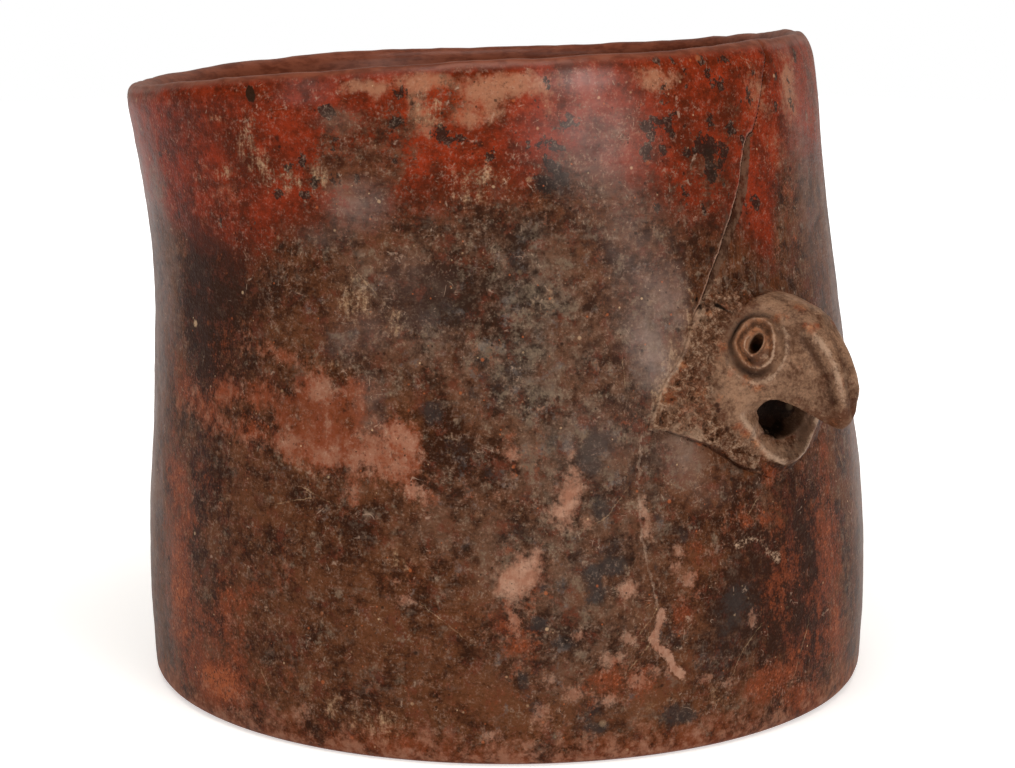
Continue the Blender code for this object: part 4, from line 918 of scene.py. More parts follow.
def buildHead():
    h = headPiece
    head = headBall()
    head.name = "parrotHead"
    core, plate = wallCore(), lutingPlate()
    tools = [(core, "DIFFERENCE"), (plate, "UNION"), (gapeCutter(), "DIFFERENCE")]
    for name, at, turn, half in (("mouthScoop", h["mouthAt"], h["mouthTurn"], h["mouthHalf"]),
                                 ("lipScoop", h["lipAt"], h["lipTurn"], h["lipHalf"])):
        place = Matrix.Translation(atHead(at[0], 0, at[1])) @ Matrix.Rotation(math.radians(turn), 4, "Y")
        tools.append((scoop(name, half, place), "DIFFERENCE"))
    for side in (1, -1):
        poke = eyeFrame(side) @ Matrix.Rotation(math.radians(h["holeTurn"] * side), 4, "Z")
        tools.append((scoop("eyePoke", h["holeHalf"], poke), "DIFFERENCE"))
    for tool, operation in tools:
        cut = head.modifiers.new(tool.name, "BOOLEAN")
        cut.operation = operation
        cut.object = tool
        cut.solver = "EXACT"
    remesh = head.modifiers.new("fine", "REMESH")
    remesh.mode = "VOXEL"
    remesh.voxel_size = h["voxel"]
    remesh.use_smooth_shade = True
    mesh = applied(head)
    for tool, _ in tools:
        bpy.data.objects.remove(tool)

    points = coordsOf(mesh)
    back = upright(points)
    b, z = bearingOf(back), back[:, 2]
    proud = np.hypot(back[:, 0], back[:, 1]) - outerRadius(z)
    inFlange = insideLoop(b, z, paintMap["flangeEdge"])
    root = np.clip((proud + 0.2) / 0.6, 0, 1) * np.clip((7.0 - proud) / 4.0, 0, 1)
    root *= np.clip((inFlange - 1.5) / 3.0, 0, 1)
    local = points - np.array(atHead(0, 0, 0))
    gapeNear = np.hypot((local[:, 0] - 7.0) / 8.0, (local[:, 2] - 14.0) / 8.0)
    root *= np.clip((gapeNear - 1.0) / 0.4, 0, 1) * np.clip((37.5 - local[:, 2]) / 4.0, 0.15, 1)
    group = head.vertex_groups.new(name="root")
    for i in np.nonzero(root > 0.01)[0]:
        group.add([int(i)], float(root[i]), "REPLACE")
    soften = head.modifiers.new("fillet", "SMOOTH")
    soften.factor = 0.5
    soften.iterations = 60
    soften.vertex_group = "root"
    settle = head.modifiers.new("settle", "SMOOTH")
    settle.factor = 0.5
    settle.iterations = 4
    mesh = applied(head)
    head.vertex_groups.clear()
    points, marks = shapeHead(mesh)
    setCoords(mesh, points)
    paintWall(mesh, upright(points), np.ones(len(points)))
    layFields(mesh, marks)
    setCoords(mesh, points * mm)
    mesh.shade_smooth()
    return head


print("parrotHead: joining, remeshing and shaping")
parrotHead = buildHead()
print("parrotHead:", countOf(parrotHead))


class Wire:  # a shader socket times a number plus a number, which takes part in Python sums
    def __init__(self, bench, socket, factor=1.0, offset=0.0):
        self.bench = bench
        self.socket = socket
        self.factor = factor
        self.offset = offset

    def maths(self, operation, *others):
        return self.bench.node("ShaderNodeMath", {"operation": operation}, dict(enumerate((self,) + others)))

    def bare(self):
        return Wire(self.bench, self.socket)

    def settled(self):  # the socket of the value itself, with its two numbers worked in
        if self.offset == 0.0:
            return self.socket if self.factor == 1.0 else self.bare().maths("MULTIPLY", self.factor).socket
        if self.factor == 1.0:
            return self.bare().maths("ADD", self.offset).socket
        return self.bare().maths("MULTIPLY_ADD", self.factor, self.offset).socket

    def __add__(self, other):
        if not isinstance(other, Wire):
            return Wire(self.bench, self.socket, self.factor, self.offset + other)
        if self.factor == other.factor:
            both = self.bare().maths("ADD", other.bare())
        else:  # one node, because the second factor is kept for later
            both = self.bare().maths("MULTIPLY_ADD", self.factor / other.factor, other.bare())
        return Wire(self.bench, both.socket, other.factor, self.offset + other.offset)

    __radd__ = __add__

    def __neg__(self):
        return self * -1.0

    def __sub__(self, other):
        return self + -other

    def __rsub__(self, other):
        return -self + other

    def __mul__(self, other):
        if not isinstance(other, Wire):
            return Wire(self.bench, self.socket, self.factor * other, self.offset * other)
        if self.offset == 0.0 and other.offset == 0.0:
            both = self.bare().maths("MULTIPLY", other.bare())
            return Wire(self.bench, both.socket, self.factor * other.factor)
        return self.maths("MULTIPLY", other)

    __rmul__ = __mul__

    def __abs__(self):
        return self.maths("ABSOLUTE")

    def most(self, other):
        return self.maths("MAXIMUM", other)

    def least(self, other):
        return self.maths("MINIMUM", other)

    def band(self, low, high):  # 0 below low, 1 above high, smooth between
        return self.bench.ramp(self.bare(), [(edge - self.offset) / self.factor for edge in (low, high)])


class Bench:  # adds nodes to a material's or the world's empty tree
    def __init__(self, owner):
        owner.use_nodes = True
        self.tree = owner.node_tree
        self.tree.nodes.clear()

    def node(self, kind, settings, sockets, output=0):
        made = self.tree.nodes.new(kind)
        for key, value in settings.items():
            setattr(made, key, value)
        for key, value in sockets.items():
            if isinstance(value, Wire):
                self.tree.links.new(value.settled(), made.inputs[key])
            else:
                made.inputs[key].default_value = value
        return None if output is None else Wire(self, made.outputs[output])

    def ramp(self, value, span, results=(0.0, 1.0)):  # from one result to the other over the span, smoothly
        return self.node("ShaderNodeMapRange", {"interpolation_type": "SMOOTHSTEP"}, {
            "Value": value, "From Min": span[0], "From Max": span[1], "To Min": results[0], "To Max": results[1]})


class ClayBench(Bench):
    def __init__(self, name):
        self.material = bpy.data.materials.new(name)
        super().__init__(self.material)
        place = self.node("ShaderNodeTexCoord", {}, {}, "Object")
        self.place = self.node("ShaderNodeVectorMath", {"operation": "SCALE"}, {0: place, "Scale": 1 / mm})

    def paint(self, name):
        return self.node("ShaderNodeAttribute", {"attribute_type": "GEOMETRY", "attribute_name": name}, {}, "Fac")

    def stretched(self, across, tall, shift):
        return self.node("ShaderNodeVectorMath", {"operation": "MULTIPLY_ADD"},
                         {0: self.place, 1: (1 / across, 1 / across, 1 / tall), 2: shift})

    def grain(self, across, tall, octaves, rough, shift, output="Fac"):
        return self.node("ShaderNodeTexNoise", {}, {"Vector": self.stretched(across, tall, shift), "Scale": 1.0,
                                                    "Detail": octaves, "Roughness": rough}, output)

    def swings(self, name):  # three noises of about -1 to 1
        across, tall, octaves, rough, swing, shift = clayGrain[name]
        colour = self.grain(across, tall, octaves, rough, shift, "Color")
        return [(channel - 0.5) * swing for channel in self.channels(colour)]

    def swing(self, name, octaves):  # the first of the three alone, with its own number of octaves
        across, tall, _, rough, swing, shift = clayGrain[name]
        return (self.grain(across, tall, octaves, rough, shift) - 0.5) * swing

    def channels(self, colour):
        made = self.node("ShaderNodeSeparateColor", {}, {0: colour}).socket.node
        return [Wire(self, socket) for socket in made.outputs]

    def specks(self, cell, shift):
        place = self.stretched(cell, cell, shift)
        gap = self.node("ShaderNodeTexVoronoi", {}, {"Vector": place, "Scale": 1.0}, "Distance")
        return [gap * cell] + self.channels(Wire(self, gap.socket.node.outputs["Color"]))

    def tint(self, under, over, share):  # one colour laid over another
        return self.node("ShaderNodeMix", {"data_type": "RGBA", "clamp_factor": True},
                         {0: share, 6: under, 7: over}, 2)

    def skin(self, colour, rough, height, shine):
        raised = self.node("ShaderNodeBump", {}, {"Height": height, "Distance": 0.001, "Strength": 1.0})
        return self.node("ShaderNodeBsdfPrincipled", {}, {
            "Base Color": colour, "Roughness": rough, "Normal": raised, "Specular IOR Level": 0.02,
            "Coat Weight": shine, "Coat Roughness": 0.34})

    def finish(self, shader):
        self.node("ShaderNodeOutputMaterial", {}, {"Surface": shader}, None)
        return self.material


def shade(red, green, blue):  # a colour given in screen values
    def linear(value):
        value /= 255.0
        return value / 12.92 if value <= 0.04045 else ((value + 0.055) / 1.055) ** 2.4
    return (linear(red), linear(green), linear(blue), 1.0)


clayColours = {
    "umberDark": shade(42, 20, 9), "umber": shade(87, 51, 30), "umberPale": shade(126, 93, 67),
    "ash": shade(98, 82, 70), "ashDark": shade(42, 32, 26), "olive": shade(108, 92, 76), "slate": shade(84, 80, 78),
    "redBrown": shade(88, 42, 28), "rust": shade(110, 52, 28), "orange": shade(158, 84, 48),
    "char": shade(30, 21, 16), "blueBlack": shade(47, 40, 37), "wornRed": shade(126, 62, 38),
    "salmon": shade(144, 98, 78), "salmonPale": shade(170, 131, 110), "cream": shade(190, 158, 124),
    "slip": shade(122, 40, 17), "slipDeep": shade(70, 26, 11), "slipBright": shade(144, 66, 38),
    # the film colour at the end of the next line paints dust film and also painted reflection
    "slipThin": shade(98, 64, 46), "tan": shade(146, 102, 78), "filmAndSheen": shade(120, 96, 86),
    "mend": shade(84, 62, 48), "inner": shade(116, 64, 46), "drop": shade(36, 24, 14),
    "worked": shade(72, 48, 34), "workedPale": shade(138, 106, 84), "burnt": shade(74, 42, 26),
    # the last two colours on the next line paint shade in the hollows, holes and mouth
    "ochre": shade(150, 96, 62), "paintedShadeBrown": shade(38, 21, 12), "paintedShadeBlack": shade(12, 6, 3),
    # the first colour on the next line is edge wear and painted highlight, and the pit colour also paints the
    # crevice's shade
    "edgeWearAndHighlight": shade(160, 132, 110), "dust": shade(158, 132, 114), "pitAndShade": shade(40, 18, 8), "grit": shade(28, 18, 12),
}


clayGrain = {  # millimetres across and up, octaves past the first, roughness, swing and start
    "cloud": (9.0, 9.0, 4.0, 0.70, 6.0, (0, 0, 0)),
    "dust": (2.4, 2.4, 3.0, 0.68, 5.52, (2, 8, 5)),
    "grit": (0.55, 0.55, 2.0, 0.60, 6.0, (4, 1, 9)),
    "fine": (1.1, 1.1, 2.0, 0.85, 4.84, (7, 2, 6)),
    "rain": (1.5, 11.0, 3.0, 0.66, 6.0, (3, 3, 3)),  # runs down the wall
    "sweep": (5.0, 1.3, 3.0, 0.70, 6.0, (5, 5, 5)),  # runs along it, as the burnishing did
    "hue": (4.6, 4.6, 3.0, 0.72, 6.0, (9, 3, 7)),
    "innerDust": (2.0, 2.0, 2.0, 0.65, 6.0, (0, 0, 0)),
    "innerSweep": (5.0, 1.3, 1.0, 0.70, 6.0, (0, 0, 0)),
}
claySpecks = ((7.5, (3, 7, 1), 0.95), (3.1, (1, 2, 3), 0.45), (1.6, (9, 4, 2), 0.26))  # cell, start, largest


def buildClay(name, onHead):
    c = clayColours
    k = ClayBench(name)
    slip, slipGone, filmAndSheen, tone = k.paint("slip"), k.paint("slipGone"), k.paint("filmAndSheen"), k.paint("tone")
    warm, cool, blot, pink = k.paint("warm"), k.paint("cool"), k.paint("blot"), k.paint("pink")
    patch, lobe, rub, height = k.paint("patch"), k.paint("lobe"), k.paint("paleRub"), k.paint("height")

    cloudA, cloudB, cloudC = k.swings("cloud")
    dustA, dustB, dustC = k.swings("dust")
    gritA, gritB, gritC = k.swings("grit")
    fineA, fineB, fineC = k.swings("fine")
    rainA, rainB, rainC = k.swings("rain")
    sweepA, sweepB, sweepC = k.swings("sweep")
    hueA, hueB, hueC = k.swings("hue")
    ragged = cloudA * 1.5 + dustA * 1.0 + gritA * 0.5

    # brown body
    calm = 1.0 - ((-tone).band(0.2, 1.2) * 0.8).most(k.paint("clean"))  # the dark places are also the clean ones
    ashen = k.paint("ashen")
    mottle = cloudA * 0.9 + rainA * 0.10 + sweepB * 0.25 + dustA * 0.7 + gritC * 0.35 + tone * 1.1
    body = k.tint(c["umberDark"], c["umber"], mottle.band(-1.15, 1.05))
    pale = cloudB * 0.5 + dustB * 0.7 + rainB * 0.15 + sweepC * 0.3 + gritA * 0.5 + tone * 0.5
    body = k.tint(body, c["umberPale"], (pale - 0.75).band(-0.2, 1.2) * calm * 0.8)
    body = k.tint(body, c["ash"], (cloudC * 0.7 + dustC * 0.6 + sweepA * 0.4 - 0.5).band(-0.3, 1.1) * calm * 0.55)
    ashShare = ashen * (0.85 + cloudC * 0.35 + hueB * 0.3)
    body = k.tint(body, k.tint(c["ashDark"], c["ash"], (mottle + dustC * 0.5).band(-1.2, 1.4)), ashShare * 0.85)
    body = k.tint(body, c["redBrown"], (hueA * 0.9 + dustB * 0.5 + gritA * 0.35 - 0.15).band(-0.1, 1.2) * 0.70)
    olive = hueB * 0.9 + dustC * 0.6 + gritB * 0.35 + ashen * 0.5 - 0.45
    body = k.tint(body, c["olive"], olive.band(-0.1, 1.3) * calm * 0.62)
    slate = hueC * 0.9 + dustA * 0.6 + gritC * 0.35 + cool * 0.7 + ashen * 0.4 - 0.8
    body = k.tint(body, c["slate"], slate.band(-0.1, 1.2) * calm * 0.62)
    rust = dustC * 0.6 - cloudB * 0.6 + rainC * 0.2 + gritB * 0.4 + warm * 1.9 - 1.15
    body = k.tint(body, c["rust"], rust.band(-0.5, 0.9) * 0.85)
    body = k.tint(body, c["orange"], (rust + fineC * 0.4).band(0.7, 1.8) * 0.60)
    cold = dustB * 0.6 - cloudA * 0.6 + gritC * 0.4 + cool * 2.1 - 1.05
    body = k.tint(body, c["blueBlack"], cold.band(-0.5, 1.1) * 0.82)
    soot = dustC * 0.8 + gritA * 0.6 + warm * 0.8 - 1.35
    body = k.tint(body, c["char"], soot.band(-0.1, 0.6) * 0.65)

    # wear down to the paler clay
    patchShare = (patch + ragged * 1.2 + rainA * 0.6).band(-1.6, 2.0)
    lit = k.paint("patchLight") + lobe.band(-3.0, 1.0) * 0.25
    rosy = cloudC * 0.4 + dustA * 0.7 + fineB * 0.5 + rainB * 0.4 + lit * 1.1 - 0.25
    worn = k.tint(c["wornRed"], c["salmon"], rosy.band(-0.9, 1.0))
    chalky = dustC * 0.7 + fineA * 0.6 + gritB * 0.3 + lit * 0.7 - 0.9
    worn = k.tint(worn, c["salmonPale"], chalky.band(-0.2, 1.2) * 0.6)
    worn = k.tint(worn, c["wornRed"], (dustB * 0.6 + fineC * 0.7 + rainC * 0.3 - 0.3).band(-0.2, 0.8) * 0.6)
    dim = cloudB * 0.5 + dustB * 0.7 + gritA * 0.5 - lit * 0.7 - 0.5
    worn = k.tint(worn, c["umberDark"], dim.band(-0.2, 0.9) * 0.6)
    body = k.tint(body, worn, patchShare * (0.66 + lit * 0.20).least(0.9))
    pinkShare = (pink + dustA * 1.1 + fineB * 0.7 + cloudB * 0.8).band(-1.4, 1.7)
    pinkClay = k.tint(c["salmon"], c["salmonPale"], (rainA * 0.3 + dustB * 0.7 + cloudC * 0.4).band(-0.7, 0.9))
    body = k.tint(body, pinkClay, pinkShare * 0.80)
    softShare = (k.paint("pinkSoft") + dustC * 1.0 + gritA * 0.5 + cloudA * 0.5).band(-0.8, 1.2)
    body = k.tint(body, pinkClay, softShare * 0.50)

    # red slip
    tan = k.paint("tan")
    fresh = cloudC * 0.75 + dustA * 0.5 + sweepA * 0.2 + tone * 0.8
    red = k.tint(c["slipDeep"], c["slip"], fresh.band(-1.15, 0.9))
    bright = cloudB * 0.7 + dustB * 0.5 + gritB * 0.3 + tan * 1.2 - 0.65
    red = k.tint(red, c["slipBright"], bright.band(-0.3, 1.1) * 0.6)
    red = k.tint(red, c["tan"], (tan * 1.8 + dustC * 0.5 + cloudA * 0.4 - 0.9).band(-0.4, 0.9) * 0.75)
    red = k.tint(red, c["slipDeep"], (1.0 - (slip + ragged).band(-2.0, 9.0)) * 0.6)
    thin = cloudB * 0.8 + dustC * 0.7 + gritB * 0.45 + sweepC * 0.25 + slipGone * 2.7 - 1.60
    rubbed = k.tint(c["umberDark"], c["slipThin"], (dustA * 0.6 + sweepB * 0.5 + cloudA * 0.5).band(-1.2, 0.8))
    red = k.tint(red, rubbed, thin.band(-0.8, 0.6) * 0.75)
    cover = (slip + ragged * 2.0).band(-7.0, 4.5) * (1.0 - thin.band(0.1, 1.4) * 0.7)
    surface = k.tint(body, red, cover)
    breaks = (fineC * 0.8 + gritB * 0.5 - 0.7).band(-0.2, 0.7) * 0.7
    blotShare = (blot + dustA * 0.95 + fineA * 0.55 + cloudC * 0.35 - 0.15).band(-0.24, 0.30) * (1.0 - breaks)
    scatter = (dustB * 0.9 + gritC * 0.6 - 1.75).band(-0.1, 0.35) * slip.band(-3.0, 3.0)
    surface = k.tint(surface, c["char"], blotShare.most(scatter * 0.8) * 0.90)

    rubShare = (rub + ragged * 1.4 + rainA * 0.8).band(-1.0, 2.4)
    rubShare = rubShare * (dustB * 0.6 + rainC * 0.7 + gritB * 0.4).band(-0.5, 1.3)
    surface = k.tint(surface, c["cream"], rubShare * 0.50)
    # dust film, partly painted reflection down the side edges and on the sheen patches
    filmAndSheenShare = (filmAndSheen * (0.55 + cloudB * 0.30 + dustB * 0.20 + sweepA * 0.24)).most(0.0)
    surface = k.tint(surface, c["filmAndSheen"], filmAndSheenShare * 0.50)

    streaky = k.paint("streaky")
    surface = k.tint(surface, c["ash"], (rainA * 0.9 + dustC * 0.3).band(0.0, 1.2) * streaky * 0.6)
    surface = k.tint(surface, c["umberDark"], (rainB * 0.9 + dustA * 0.3).band(0.1, 1.2) * streaky * 0.6)

    # fine grain, as grey dust and dark pits
    coarse = (cloudB * 0.5 - cloudC * 0.4).band(-1.0, 1.0)  # some places are grittier than others
    dusty = (fineA * 0.75 + gritB * 0.6 + dustA * 0.5 + sweepC * 0.12 - 0.2).band(-0.2, 1.7)
    surface = k.tint(surface, c["dust"], dusty * calm * (0.22 + 0.24 * coarse))
    pitted = (fineB * 0.75 + gritC * 0.6 + dustB * 0.5 - sweepC * 0.12 - 0.2).band(-0.2, 1.7)
    surface = k.tint(surface, c["pitAndShade"], pitted * calm * (0.46 + 0.30 * coarse))
    # more of the dust film and painted reflection, over the grain
    surface = k.tint(surface, c["filmAndSheen"], filmAndSheenShare * 0.28)

    # specks of cream and orange grit
    for cell, shift, biggest in claySpecks:
        gap, pick, size, other = k.specks(cell, shift)
        seen = size * biggest - gap + (gritA * 0.10 + fineC * 0.08) * biggest
        seen = seen.band(-0.30 * biggest, 0.35 * biggest)
        surface = k.tint(surface, c["cream"], seen * pick.band(0.86, 0.88) * (0.10 + 0.50 * other))
        surface = k.tint(surface, c["orange"], seen * (pick.band(0.74, 0.76) - pick.band(0.86, 0.88)) * 0.55)
        surface = k.tint(surface, c["grit"], seen * (1.0 - pick.band(0.40, 0.42)) * 0.7)

    # hair scratches, short pieces of long wandering lines
    for tall, across, mask, shift in ((14.0, 5.0, dustC, (2, 2, 8)), (3.0, 8.0, dustB, (8, 3, 1))):
        line = abs(k.grain(across, tall, 1.0, 0.5, shift) - 0.5)
        hair = (0.006 - line).band(-0.004, 0.003) * (mask + cloudB * 0.6 - 0.6).band(0.0, 0.5)
        surface = k.tint(surface, c["dust"], hair * 0.45)

    # cracks, mend and scratches
    crack, lowerCrack, branch = k.paint("crack"), k.paint("lowerCrack"), k.paint("branch")
    mend, channel, scuff, drop = k.paint("mend"), k.paint("channel"), k.paint("scuff"), k.paint("drop")
    jitter = dustB * 0.22 + gritA * 0.12
    upper = height.band(92.0, 97.0)
    mendShare = (mend + jitter * 1.2).band(-0.10, 0.25) * upper
    mended = k.tint(c["mend"], c["umberDark"], (dustC + rainA * 0.6).band(-0.6, 0.9))
    surface = k.tint(surface, mended, mendShare * 0.85)
    crackLine = (0.22 - abs(crack + jitter * 0.5)).band(-0.12, 0.10) * upper
    surface = k.tint(surface, c["char"], crackLine * (0.35 + 0.55 * height.band(128.0, 131.0)))
    paleEdge = (0.28 - abs(crack + 0.45 + jitter)).band(-0.15, 0.12) * upper * (1.0 - height.band(129.0, 132.0))
    surface = k.tint(surface, c["salmonPale"], paleEdge * 0.55)
    lowLine = (0.20 - abs(lowerCrack + jitter * 1.6)).band(-0.20, 0.10)
    surface = k.tint(surface, c["dust"], lowLine * (0.26 + dustC * 0.30).most(0.0))
    channelShare = (channel + jitter * 2.0 - 0.15).band(-0.3, 0.4)
    surface = k.tint(surface, pinkClay, channelShare * 0.75)
    branchLine = (0.10 - abs(branch + jitter * 0.8)).band(-0.12, 0.08)
    surface = k.tint(surface, c["cream"], branchLine * (0.16 + dustA * 0.2).most(0.0))
    scuffShare = (scuff + ragged * 0.5).band(0.0, 1.0) * gritB.band(-0.8, 0.8) * height.band(10.0, 46.0)
    surface = k.tint(surface, c["edgeWearAndHighlight"], scuffShare * 0.85)
    dropShare = (drop + jitter * 0.4).band(-0.08, 0.08)
    surface = k.tint(surface, c["drop"], dropShare * 0.95)
    foot = (5.5 - height + ragged * 2.4).band(-3.5, 6.0)
    footClay = k.tint(c["rust"], c["salmon"], (dustA + cloudC * 0.8 + 0.3).band(-0.6, 1.2))
    surface = k.tint(surface, footClay, foot * 0.62)

    rough = 0.44 + dustA * 0.04 + cloudC * 0.04 - slip.band(-6.0, 4.0) * 0.08
    rough = rough + patchShare * 0.08 + pinkShare * 0.15 + foot * 0.10
    # relief, kept short because a bump is worked out three times over
    dustUp, gritUp = k.swing("dust", 3.0), k.swing("grit", 1.0)
    fineUp, sweepUp = k.swing("fine", 2.0), k.swing("sweep", 2.0)
    bumps = gritUp * 0.018 + fineUp * 0.025 + dustUp * 0.024 + sweepUp * 0.016
    bumps = bumps - (0.22 - abs(crack)).band(-0.12, 0.10) * upper * 0.30
    bumps = bumps - (0.20 - abs(lowerCrack)).band(-0.20, 0.10) * 0.10 + drop.band(-0.08, 0.08) * 0.1

    shine = k.paint("gloss") * (0.8 + cloudC * 0.15 + sweepB * 0.15) + 0.03
    shine = shine * (1.0 - patchShare * 0.5) * (1.0 - pinkShare * 0.8)

    # where the head was worked on
    jawCrack = (0.30 - abs(k.paint("jawCrack") + jitter * 0.8)).band(-0.16, 0.10)
    plateLine = (0.34 - abs(k.paint("plateEdge") + jitter * 2.4)).band(-0.40, 0.15)
    if onHead:
        # painted shade, edge wear with painted highlights, and the flank's painted shade
        paintedShade, ridge, shadedFlankDarkFront = k.paint("paintedShade"), k.paint("worn"), k.paint("shadedFlankDarkFront")
        neck, stain, handled = k.paint("neck"), k.paint("stain"), k.paint("handled")
        lumps = k.paint("lumps")
        plain = cloudA * 0.8 + dustB * 0.6 + fineA * 0.4 + gritA * 0.3 + lumps * 0.3
        worked = k.tint(c["worked"], c["workedPale"], plain.band(-1.5, 1.4))
        worked = k.tint(worked, c["ash"], (cloudC * 0.8 + dustA * 0.5 - 0.2).band(-0.3, 1.2) * 0.45)
        # painted shade in the lumps' hollows and painted highlights on their tops
        lumpShading = lumps * 1.3 + dustA * 0.7 + fineB * 1.1 + gritB * 1.2 + cloudC * 0.3
        lumpLitAndShaded = k.tint(c["umberDark"], c["umber"], lumpShading.band(-1.7, 0.0))
        lumpLitAndShaded = k.tint(lumpLitAndShaded, c["edgeWearAndHighlight"], lumpShading.band(-0.4, 1.9) * 0.9)
        worked = k.tint(worked, lumpLitAndShaded, neck * 0.75)
        worked = k.tint(worked, c["worked"], (neck * (hueC * 0.4 + dustC * 0.4 - 0.1)).most(0.0))
        cast = k.paint("cast") * 1.2 + dustB * 0.3 + fineA * 0.2
        worked = k.tint(worked, c["burnt"], (-cast).band(0.0, 1.1) * 0.85)
        worked = k.tint(worked, c["edgeWearAndHighlight"], cast.band(0.1, 1.3) * 0.60)
        socketClay = k.tint(c["burnt"], c["ochre"], (cloudC * 0.6 + dustC * 0.8 + fineB * 0.5).band(-1.0, 1.2))
        worked = k.tint(worked, socketClay, k.paint("socket") * 0.65)
        rusty = (cloudB * 0.7 + dustC * 0.6 + gritB * 0.3 + neck * 0.35 - 0.75).band(-0.3, 1.0) * 0.65
        worked = k.tint(worked, c["rust"], rusty)
        stained = (stain * 1.7 + dustC * 0.45 + gritA * 0.3 - 0.75).band(-0.3, 0.8)
        stainClay = k.tint(c["rust"], c["ochre"], (dustA + fineC * 0.6).band(-0.7, 0.9))
        worked = k.tint(worked, stainClay, stained * 0.75)
        # painted shade in the beak's flank hollow, and a darker front
        flankShadeShare = shadedFlankDarkFront * 1.25 + dustA * 0.25 + gritB * 0.2 - 0.3
        worked = k.tint(worked, c["umberDark"], flankShadeShare.band(-0.2, 0.8) * 0.75)
        worked = k.tint(worked, c["char"], (dustA * 0.7 + gritC * 0.7 + neck * 0.3 - 1.4).band(-0.2, 0.6) * 0.6)
        worked = k.tint(worked, c["pitAndShade"], pitted * 0.45)
        # painted shade in the eye's grooves, the mouth and under the jaw
        depth = paintedShade * 1.15 + dustB * 0.25 + gritA * 0.15 + fineA * 0.15
        worked = k.tint(worked, c["paintedShadeBrown"], depth.band(0.05, 1.05) * 0.84)
        worked = k.tint(worked, c["paintedShadeBlack"], (paintedShade + dustB * 0.05).band(0.80, 1.0) * 0.95)
        # edge wear with painted highlights on the ridges, rims and crown
        wearAndHighlight = ridge * 1.15 + dustC * 0.45 + gritA * 0.3 + cloudB * 0.2 - 0.35
        worked = k.tint(worked, c["edgeWearAndHighlight"], wearAndHighlight.band(-0.1, 1.0) * 0.68)
        handledShare = (handled + ragged * 0.16).band(0.15, 0.75).most(paintedShade.band(0.2, 0.5))
        surface = k.tint(surface, worked, handledShare)
        rough = rough + handledShare * 0.10 - ridge * 0.10
        shine = shine * (1.0 - handledShare) + handledShare * (ridge * 0.25 + 0.05)
        neckBumps = neck * (dustUp * 0.15 + fineUp * 0.087 + lumps * 0.10)
        bumps = bumps + handled.band(0.15, 0.75) * (fineUp * 0.025 + neckBumps)
        # painted shade in the crevice at the head's top, and black spots
        surface = k.tint(surface, c["pitAndShade"], (k.paint("creviceShadeAndSpots") * 1.3 + dustA * 0.15).band(0.25, 1.0) * 0.9)
    surface = k.tint(surface, c["edgeWearAndHighlight"], plateLine * (0.35 + dustA * 0.4 + cloudB * 0.3).most(0.0) * 0.8)
    surface = k.tint(surface, c["pitAndShade"], jawCrack * (0.25 + 0.6 * (68.6 - height).band(-1.0, 2.0)))
    # painted shade on the wall seen through the parrot's mouth
    if not onHead:
        surface = k.tint(surface, c["paintedShadeBlack"], k.paint("mouth").band(0.0, 0.9) * 0.9)
    # painted shade in small holes in the crack
    surface = k.tint(surface, c["paintedShadeBlack"], (k.paint("smallHoleShade") + jitter).band(-0.2, 0.25) * 0.95)

    outer = k.skin(surface, rough, bumps, shine)
    if onHead:
        return k.finish(outer)
    innerClay = k.tint(c["inner"], c["slipDeep"], (k.swing("cloud", 4.0) + sweepUp).band(-1.0, 1.4) * 0.6)
    innerBumps = k.swing("innerDust", 2.0) * 0.035 + k.swing("innerSweep", 1.0) * 0.016
    inner = k.skin(innerClay, 0.42, innerBumps, 0.25)
    return k.finish(k.node("ShaderNodeMixShader", {}, {0: k.paint("inside").band(0.25, 0.6), 1: outer, 2: inner}))


print("clay: mixing the materials")
potWall.data.materials.clear()
potWall.data.materials.append(buildClay("burnishedClay", False))
parrotHead.data.materials.clear()
parrotHead.data.materials.append(buildClay("handledClay", True))
for piece in (potWall, parrotHead):
    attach(piece, "root")
    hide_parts("pot")


studio = {
    "floorSize": 6.0, "floorShade": 0.80, "floorGlow": (0.50, 0.97), "farGlow": 0.43,
    "glowFrom": (0.10, 0.45), "fadeFrom": (0.35, 0.60),  # metres from the pot's middle
    "worldFront": 0.09, "worldBack": 0.60, "worldTurn": (0.20, 0.65),
    "lamps": (  # name, bearing, height, distance, (width, height), watts
        ("softboxRight", 36.0, 0.52, 1.22, (0.45, 0.85), 7.8),
        ("softboxLeft", -40.0, 0.80, 1.30, (0.6, 0.7), 5.6),
        ("overhead", 0.0, 1.30, 0.35, (0.8, 0.8), 10.0),
    ),
    "lampAim": (0.0, 0.0, 0.08), "lampTint": (1.0, 0.95, 0.89), "worldTint": (1.0, 0.91, 0.82),
}


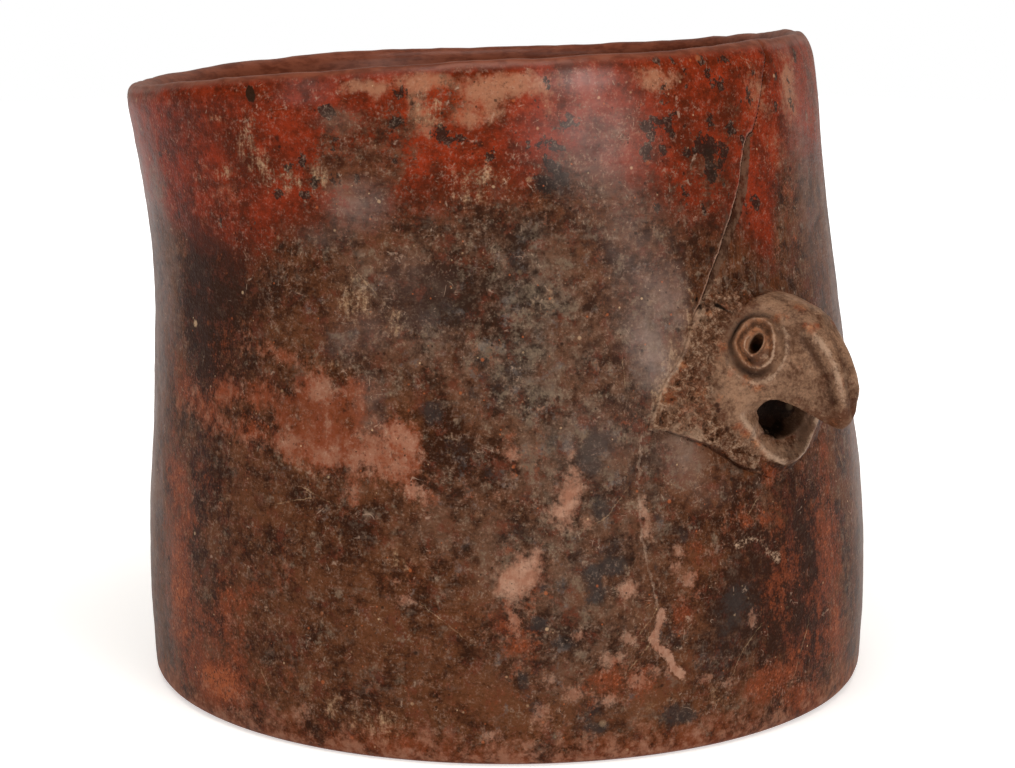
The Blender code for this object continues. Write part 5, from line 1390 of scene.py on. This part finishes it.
def buildFloor():
    bm = bmesh.new()
    bmesh.ops.create_grid(bm, x_segments=1, y_segments=1, size=studio["floorSize"] / 2)
    mesh = meshFrom(bm, "studioFloor")
    floor = newObject("studioFloor", mesh)
    paper = bpy.data.materials.new("whitePaper")
    b = Bench(paper)
    place = b.node("ShaderNodeTexCoord", {}, {}, "Object")
    reach = b.node("ShaderNodeVectorMath", {"operation": "LENGTH"}, {0: place}, "Value")
    # far off, a glow stands in for the light that the paper would send back, which saves rays
    grey = b.ramp(reach, studio["fadeFrom"], (studio["floorShade"], 0.0))
    glow = b.ramp(reach, studio["glowFrom"], studio["floorGlow"])
    glow = glow + b.ramp(reach, studio["fadeFrom"], (0.0, studio["farGlow"]))
    shader = b.node("ShaderNodeBsdfPrincipled", {}, {
        "Base Color": grey, "Roughness": 0.9, "Specular IOR Level": 0.1,
        "Emission Color": glow, "Emission Strength": 1.0})
    b.node("ShaderNodeOutputMaterial", {}, {"Surface": shader}, None)
    mesh.materials.append(paper)


def buildLamps():
    for name, bearing, height, distance, size, watts in studio["lamps"]:
        data = bpy.data.lights.new(name, "AREA")
        data.shape = "RECTANGLE"
        data.size, data.size_y = size
        data.energy = watts
        data.color = studio["lampTint"]
        lamp = newObject(name, data)
        azimuth = math.radians(bearing + frontAzimuth)
        lamp.location = (distance * math.cos(azimuth), distance * math.sin(azimuth), height)
        towards = Vector(studio["lampAim"]) - lamp.location
        lamp.rotation_euler = towards.to_track_quat("-Z", "Y").to_euler()


def buildWorld():  # plain white to the camera, and dimmer light on the pot, most of it from behind
    world = bpy.data.worlds.new("studioWorld")
    b = Bench(world)
    azimuth = math.radians(frontAzimuth)
    behind = (-math.cos(azimuth), -math.sin(azimuth), 0.0)
    place = b.node("ShaderNodeTexCoord", {}, {}, "Generated")
    towards = b.node("ShaderNodeVectorMath", {"operation": "DOT_PRODUCT"}, {0: place, 1: behind}, "Value")
    strength = b.ramp(towards, studio["worldTurn"], (studio["worldFront"], studio["worldBack"]))
    lit = b.node("ShaderNodeBackground", {}, {"Color": studio["worldTint"] + (1.0,), "Strength": strength})
    seen = b.node("ShaderNodeBackground", {}, {"Color": (1.0, 1.0, 1.0, 1.0), "Strength": 1.0})
    fromCamera = b.node("ShaderNodeLightPath", {}, {}, "Is Camera Ray")
    mixed = b.node("ShaderNodeMixShader", {}, {0: fromCamera, 1: lit, 2: seen})
    b.node("ShaderNodeOutputWorld", {}, {"Surface": mixed}, None)
    bpy.context.scene.world = world


def buildCamera():
    data = bpy.data.cameras.new("photoCamera")
    data.lens = camera["lens"]
    data.sensor_width = 36.0
    data.sensor_fit = "HORIZONTAL"
    data.clip_start = 0.01
    made = newObject("photoCamera", data)
    made.location = camera["place"]
    made.rotation_euler = (math.radians(camera["tilt"]), 0.0, math.radians(camera["turn"]))
    bpy.context.scene.camera = made


print("studio: floor, lamps and camera")
buildFloor()
buildLamps()
buildWorld()
buildCamera()
bpy.context.scene.view_settings.view_transform = "Standard"
